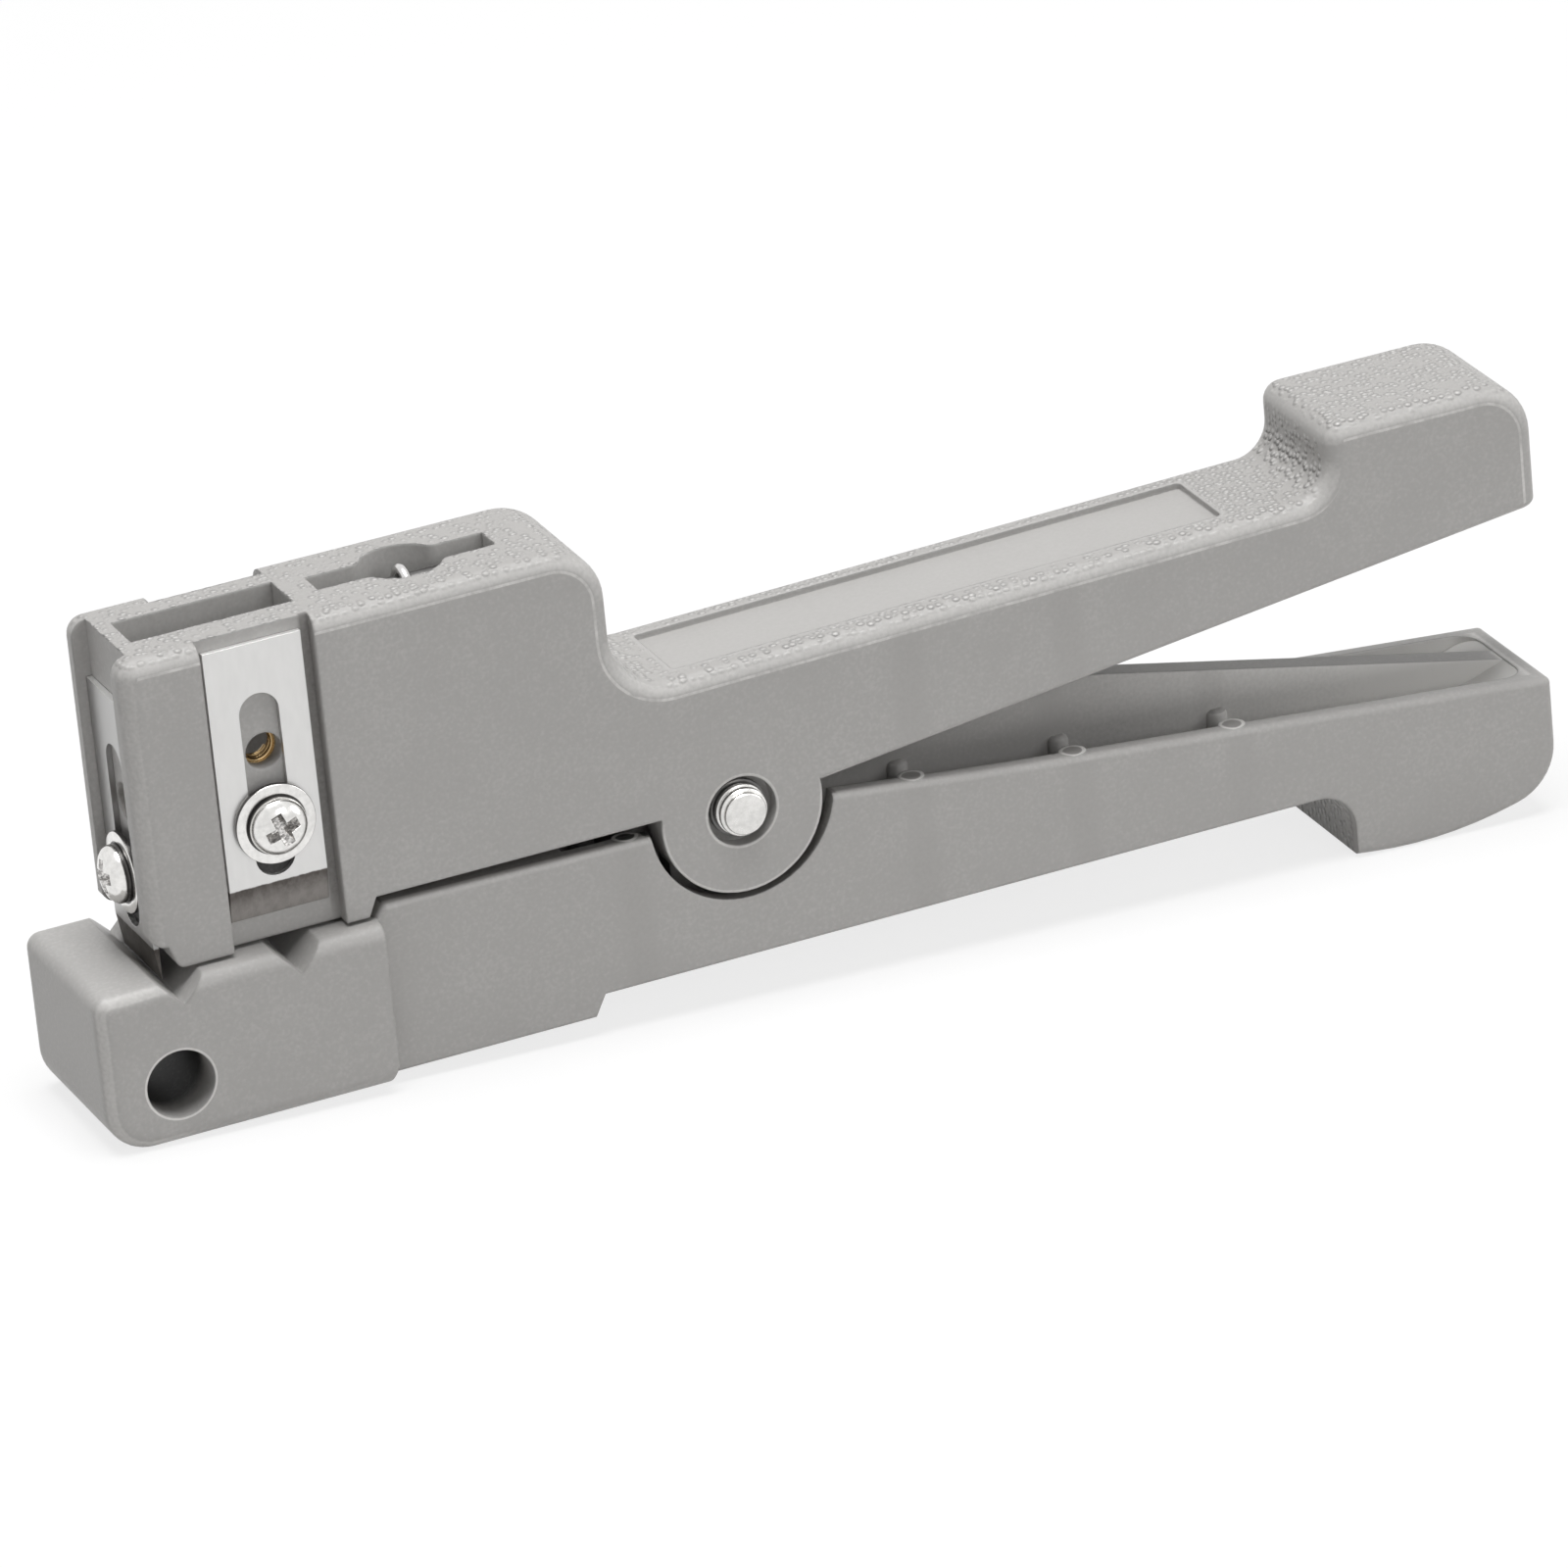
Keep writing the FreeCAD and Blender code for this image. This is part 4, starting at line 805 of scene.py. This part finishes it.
def web_posts(name, finish):
    """Half-round posts against the middle web, across the channel from those in the lower lever's walls."""
    radius = 0.95
    web_face = 1.05
    margin = 0.2
    foot_z = CHANNEL_FLOOR_Z - margin
    rims_z = (-1.63, -3.27, -4.74)

    def draw(bm):
        for post_x, rim_z in zip(EJECTOR_POSTS_X, rims_z):
            top = rim_z - margin - foot_z
            profile = [(0.0, 0.0), (radius, 0.0), (radius, top - 0.5)]
            profile += [(radius - 0.13, top - 0.2), (radius - 0.45, top), (0.0, top)]
            for side in (-1, 1):
                foot = PIVOT + Vector((post_x + 0.5, side * web_face, foot_z))
                turned(bm, profile, stood(foot, (0, 0, 1)), slices=32)

    posts = mesh_piece(name, draw)
    clad(posts, finish)
    return settled(posts)


def channel_ramp(name, finish):
    """The floor of the lower lever's channel where it curves up to the closed end."""
    start_x = 56.0
    end_x = CHANNEL_END_X + 0.25
    top_z = -7.53
    base_z = CHANNEL_FLOOR_Z - 0.5
    web_side = 0.6
    steps = 16
    curve = 1.7
    outline = [(end_x, base_z), (start_x, base_z)]
    for step in range(steps + 1):
        along = step / steps
        z = CHANNEL_FLOOR_Z + (top_z - CHANNEL_FLOOR_Z) * along ** curve
        outline.append((start_x + (end_x - start_x) * along, z))

    def draw(bm):
        for side in (-1, 1):
            loops = []
            for y in (side * web_side, side * (CHANNEL_WALL_Y + 0.1)):
                loops.append([bm.verts.new((PIVOT + Vector((x, y, z))) * MM) for x, z in outline])
            walled(bm, *loops)

    ramp = mesh_piece(name, draw)
    clad(ramp, finish)
    return settled(ramp)


def fixed_to(piece, body):
    """Rides a piece on its body."""
    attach(piece, body)


def stand_in(piece, node, body):
    """Rides a piece on its body in place of a CAD node."""
    fixed_to(piece, body)
    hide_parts(node)


# The levers, blades, inserts, rings and spring pins keep their CAD shapes and take finishes.
upper_plastic = plastic_finish("upper_plastic", upper_grain, upper_lights)
lower_plastic = plastic_finish("lower_plastic", lower_grain, lower_lights)
clad(nodes["upper_lever"], upper_plastic)
clad(nodes["lower_lever"], lower_plastic)
clad(nodes["side_blade"], blade_finish("side_blade_steel", edge_z=1.5, brightness=1.0))
# The front blade's faces are darkened as painted shade.
clad(nodes["front_blade"], blade_finish("front_blade_steel", edge_z=-2.43, brightness=0.62))

nickel = steel_finish("bright_nickel", (0.84, 0.83, 0.81), 0.17)
# Dark nickel is painted shade on the screws' skirts, the washers' rims and under the screw heads; the
# recess finish is mottled painted shade.
shaded_nickel = steel_finish("shaded_nickel", (0.12, 0.117, 0.114), 0.3)
recess_shade_nickel = steel_finish("pressed_recess_painted_shade_nickel", (0.85, 0.83, 0.81), 0.22, darkest=0.1, line_scale=4.5)
ground_steel = steel_finish("ground_pin_steel", (0.78, 0.77, 0.75), 0.26)
wire_steel = steel_finish("drawn_wire_steel", (0.72, 0.71, 0.70), 0.22)
ring_steel = steel_finish("ring_steel", (0.16, 0.157, 0.154), 0.35)
brass = steel_finish("turned_brass", (0.52, 0.37, 0.19), 0.28)

for node_name in nodes:
    if "insert" in node_name:
        clad(nodes[node_name], brass)
    if node_name.endswith(("_pin_ring", "_spring_pin")):
        clad(nodes[node_name], ring_steel)

# Each blade's clamp: a washer on the blade and a screw on the washer.
for side, outward, roll_deg in (("side", Vector((0, -1, 0)), 20.0), ("front", Vector((-1, 0, 0)), 10.0)):
    line = middle_of(side + "_screw")
    seat = line + outward * (inner_face(side + "_washer", outward) - line.dot(outward))
    washer = clamp_washer(side + "_washer_dressed", stood(seat, outward), nickel, shaded_nickel)
    stand_in(washer, side + "_washer", "upper")
    head_seat = stood(seat + outward * WASHER_THICKNESS, outward, roll_deg)
    screw = clamp_screw(side + "_screw_dressed", head_seat, nickel, shaded_nickel, recess_shade_nickel)
    stand_in(screw, side + "_screw", "upper")

pin_half_length = in_mm(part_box("pivot_pin")[1]).y
pin = collared_pin("pivot_pin_dressed", PIVOT, pin_half_length, ground_steel)
stand_in(pin, "pivot_pin", "lower")

low_pin = middle_of("lower_spring_pin")
high_pin = middle_of("upper_spring_pin")
spring = return_spring("return_spring_dressed", low_pin, high_pin)
clad(spring, wire_steel)
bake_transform(spring)
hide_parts("return_spring")

# Threads in the inserts that hold no screw, in the middle of each insert's length.
thread_group = thread_tree()
for node_name, inward in (
    ("side_insert_upper", Vector((0, 1, 0))),
    ("far_insert_lower", Vector((0, -1, 0))),
    ("far_insert_upper", Vector((0, -1, 0))),
    ("front_insert_upper", Vector((1, 0, 0))),
):
    start = middle_of(node_name) - inward * (THREAD_TURNS * THREAD_PITCH / 2)
    thread = insert_thread(thread_group, node_name + "_thread", stood(start, inward), brass)
    fixed_to(thread, "upper")

fixed_to(channel_ramp("channel_end_ramp", lower_plastic), "lower")
fixed_to(web_posts("web_posts", lower_plastic), "lower")


def floor_on(front_mm, back_mm):
    """A wide pale floor through two points of the resting tool, level across it."""
    reach = 4.0
    below = Vector((0, 0, 0.02 * MM))
    along = (back_mm - front_mm).normalized() * reach
    across = Vector((0, reach, 0))
    centre = (front_mm + back_mm) * MM / 2 - below
    corners = [centre + along * i + across * j for i, j in ((-1, -1), (1, -1), (1, 1), (-1, 1))]
    mesh = bpy.data.meshes.new("floor")
    mesh.from_pydata(corners, [], [(0, 1, 2, 3)])
    floor = bpy.data.objects.new("floor", mesh)
    bpy.context.scene.collection.objects.link(floor)
    finish = Finish("pale_floor")
    towards_tool = (0.66, 0.655, 0.65)
    towards_camera = (0.84, 0.84, 0.84)
    shade = finish.colours(finish.seen_directly(), towards_tool, towards_camera)
    lit = finish.node("ShaderNodeBsdfDiffuse", None, {"Color": shade})
    finish.node("ShaderNodeOutputMaterial", None, {"Surface": finish.mixed_white(0.78, lit)})
    clad(floor, finish.material)


def soft_lamp(name, at, size, power):
    """A round soft lamp aimed at the middle of the tool."""
    middle_of_tool = Vector((0.0, 0.0, 0.02))
    data = bpy.data.lights.new(name, "AREA")
    data.shape = "DISK"
    data.size = size
    data.energy = power
    lamp = bpy.data.objects.new(name, data)
    bpy.context.scene.collection.objects.link(lamp)
    lamp.location = at
    lamp.rotation_mode = "QUATERNION"
    lamp.rotation_quaternion = (middle_of_tool - Vector(at)).to_track_quat("-Z", "Y")


def white_surround(strength):
    """A white room to the camera and in reflections, which lights the tool at a lower strength."""
    world = bpy.data.worlds.new("surround")
    bpy.context.scene.world = world
    shading = Shading(world)
    level = strength + shading.seen_directly() * (1.0 - strength)
    sky = shading.node("ShaderNodeBackground", None, {"Color": WHITE, "Strength": level})
    shading.node("ShaderNodeOutputWorld", None, {"Surface": sky})


def photo_camera():
    """A long lens in front of the tool, to its left and above it, a little rolled."""
    at_mm = Vector((-343.646, -855.826, 434.108))
    turn_deg = (65.591, 5.1044, -24.0976)
    data = bpy.data.cameras.new("camera")
    data.sensor_width = 36.0
    data.lens = 276.842
    data.clip_start = 0.05
    data.clip_end = 30.0
    camera = bpy.data.objects.new("camera", data)
    bpy.context.scene.collection.objects.link(camera)
    turn = Euler([math.radians(angle) for angle in turn_deg]).to_matrix().to_4x4()
    camera.matrix_world = Matrix.Translation(at_mm * MM) @ turn
    bpy.context.scene.camera = camera


floor_on(JAW_FOOT_EDGE, HOOK_LOWEST_EDGE)
white_surround(strength=0.19)
soft_lamp("overhead", at=(-0.02, -0.02, 0.9), size=0.6, power=9.4)
soft_lamp("front_fill", at=(0.35, -1.1, 0.55), size=0.5, power=2.4)
soft_lamp("rear_low", at=(0.9, -0.45, 0.3), size=0.5, power=1.7)
photo_camera()
bpy.context.scene.view_settings.view_transform = "Standard"
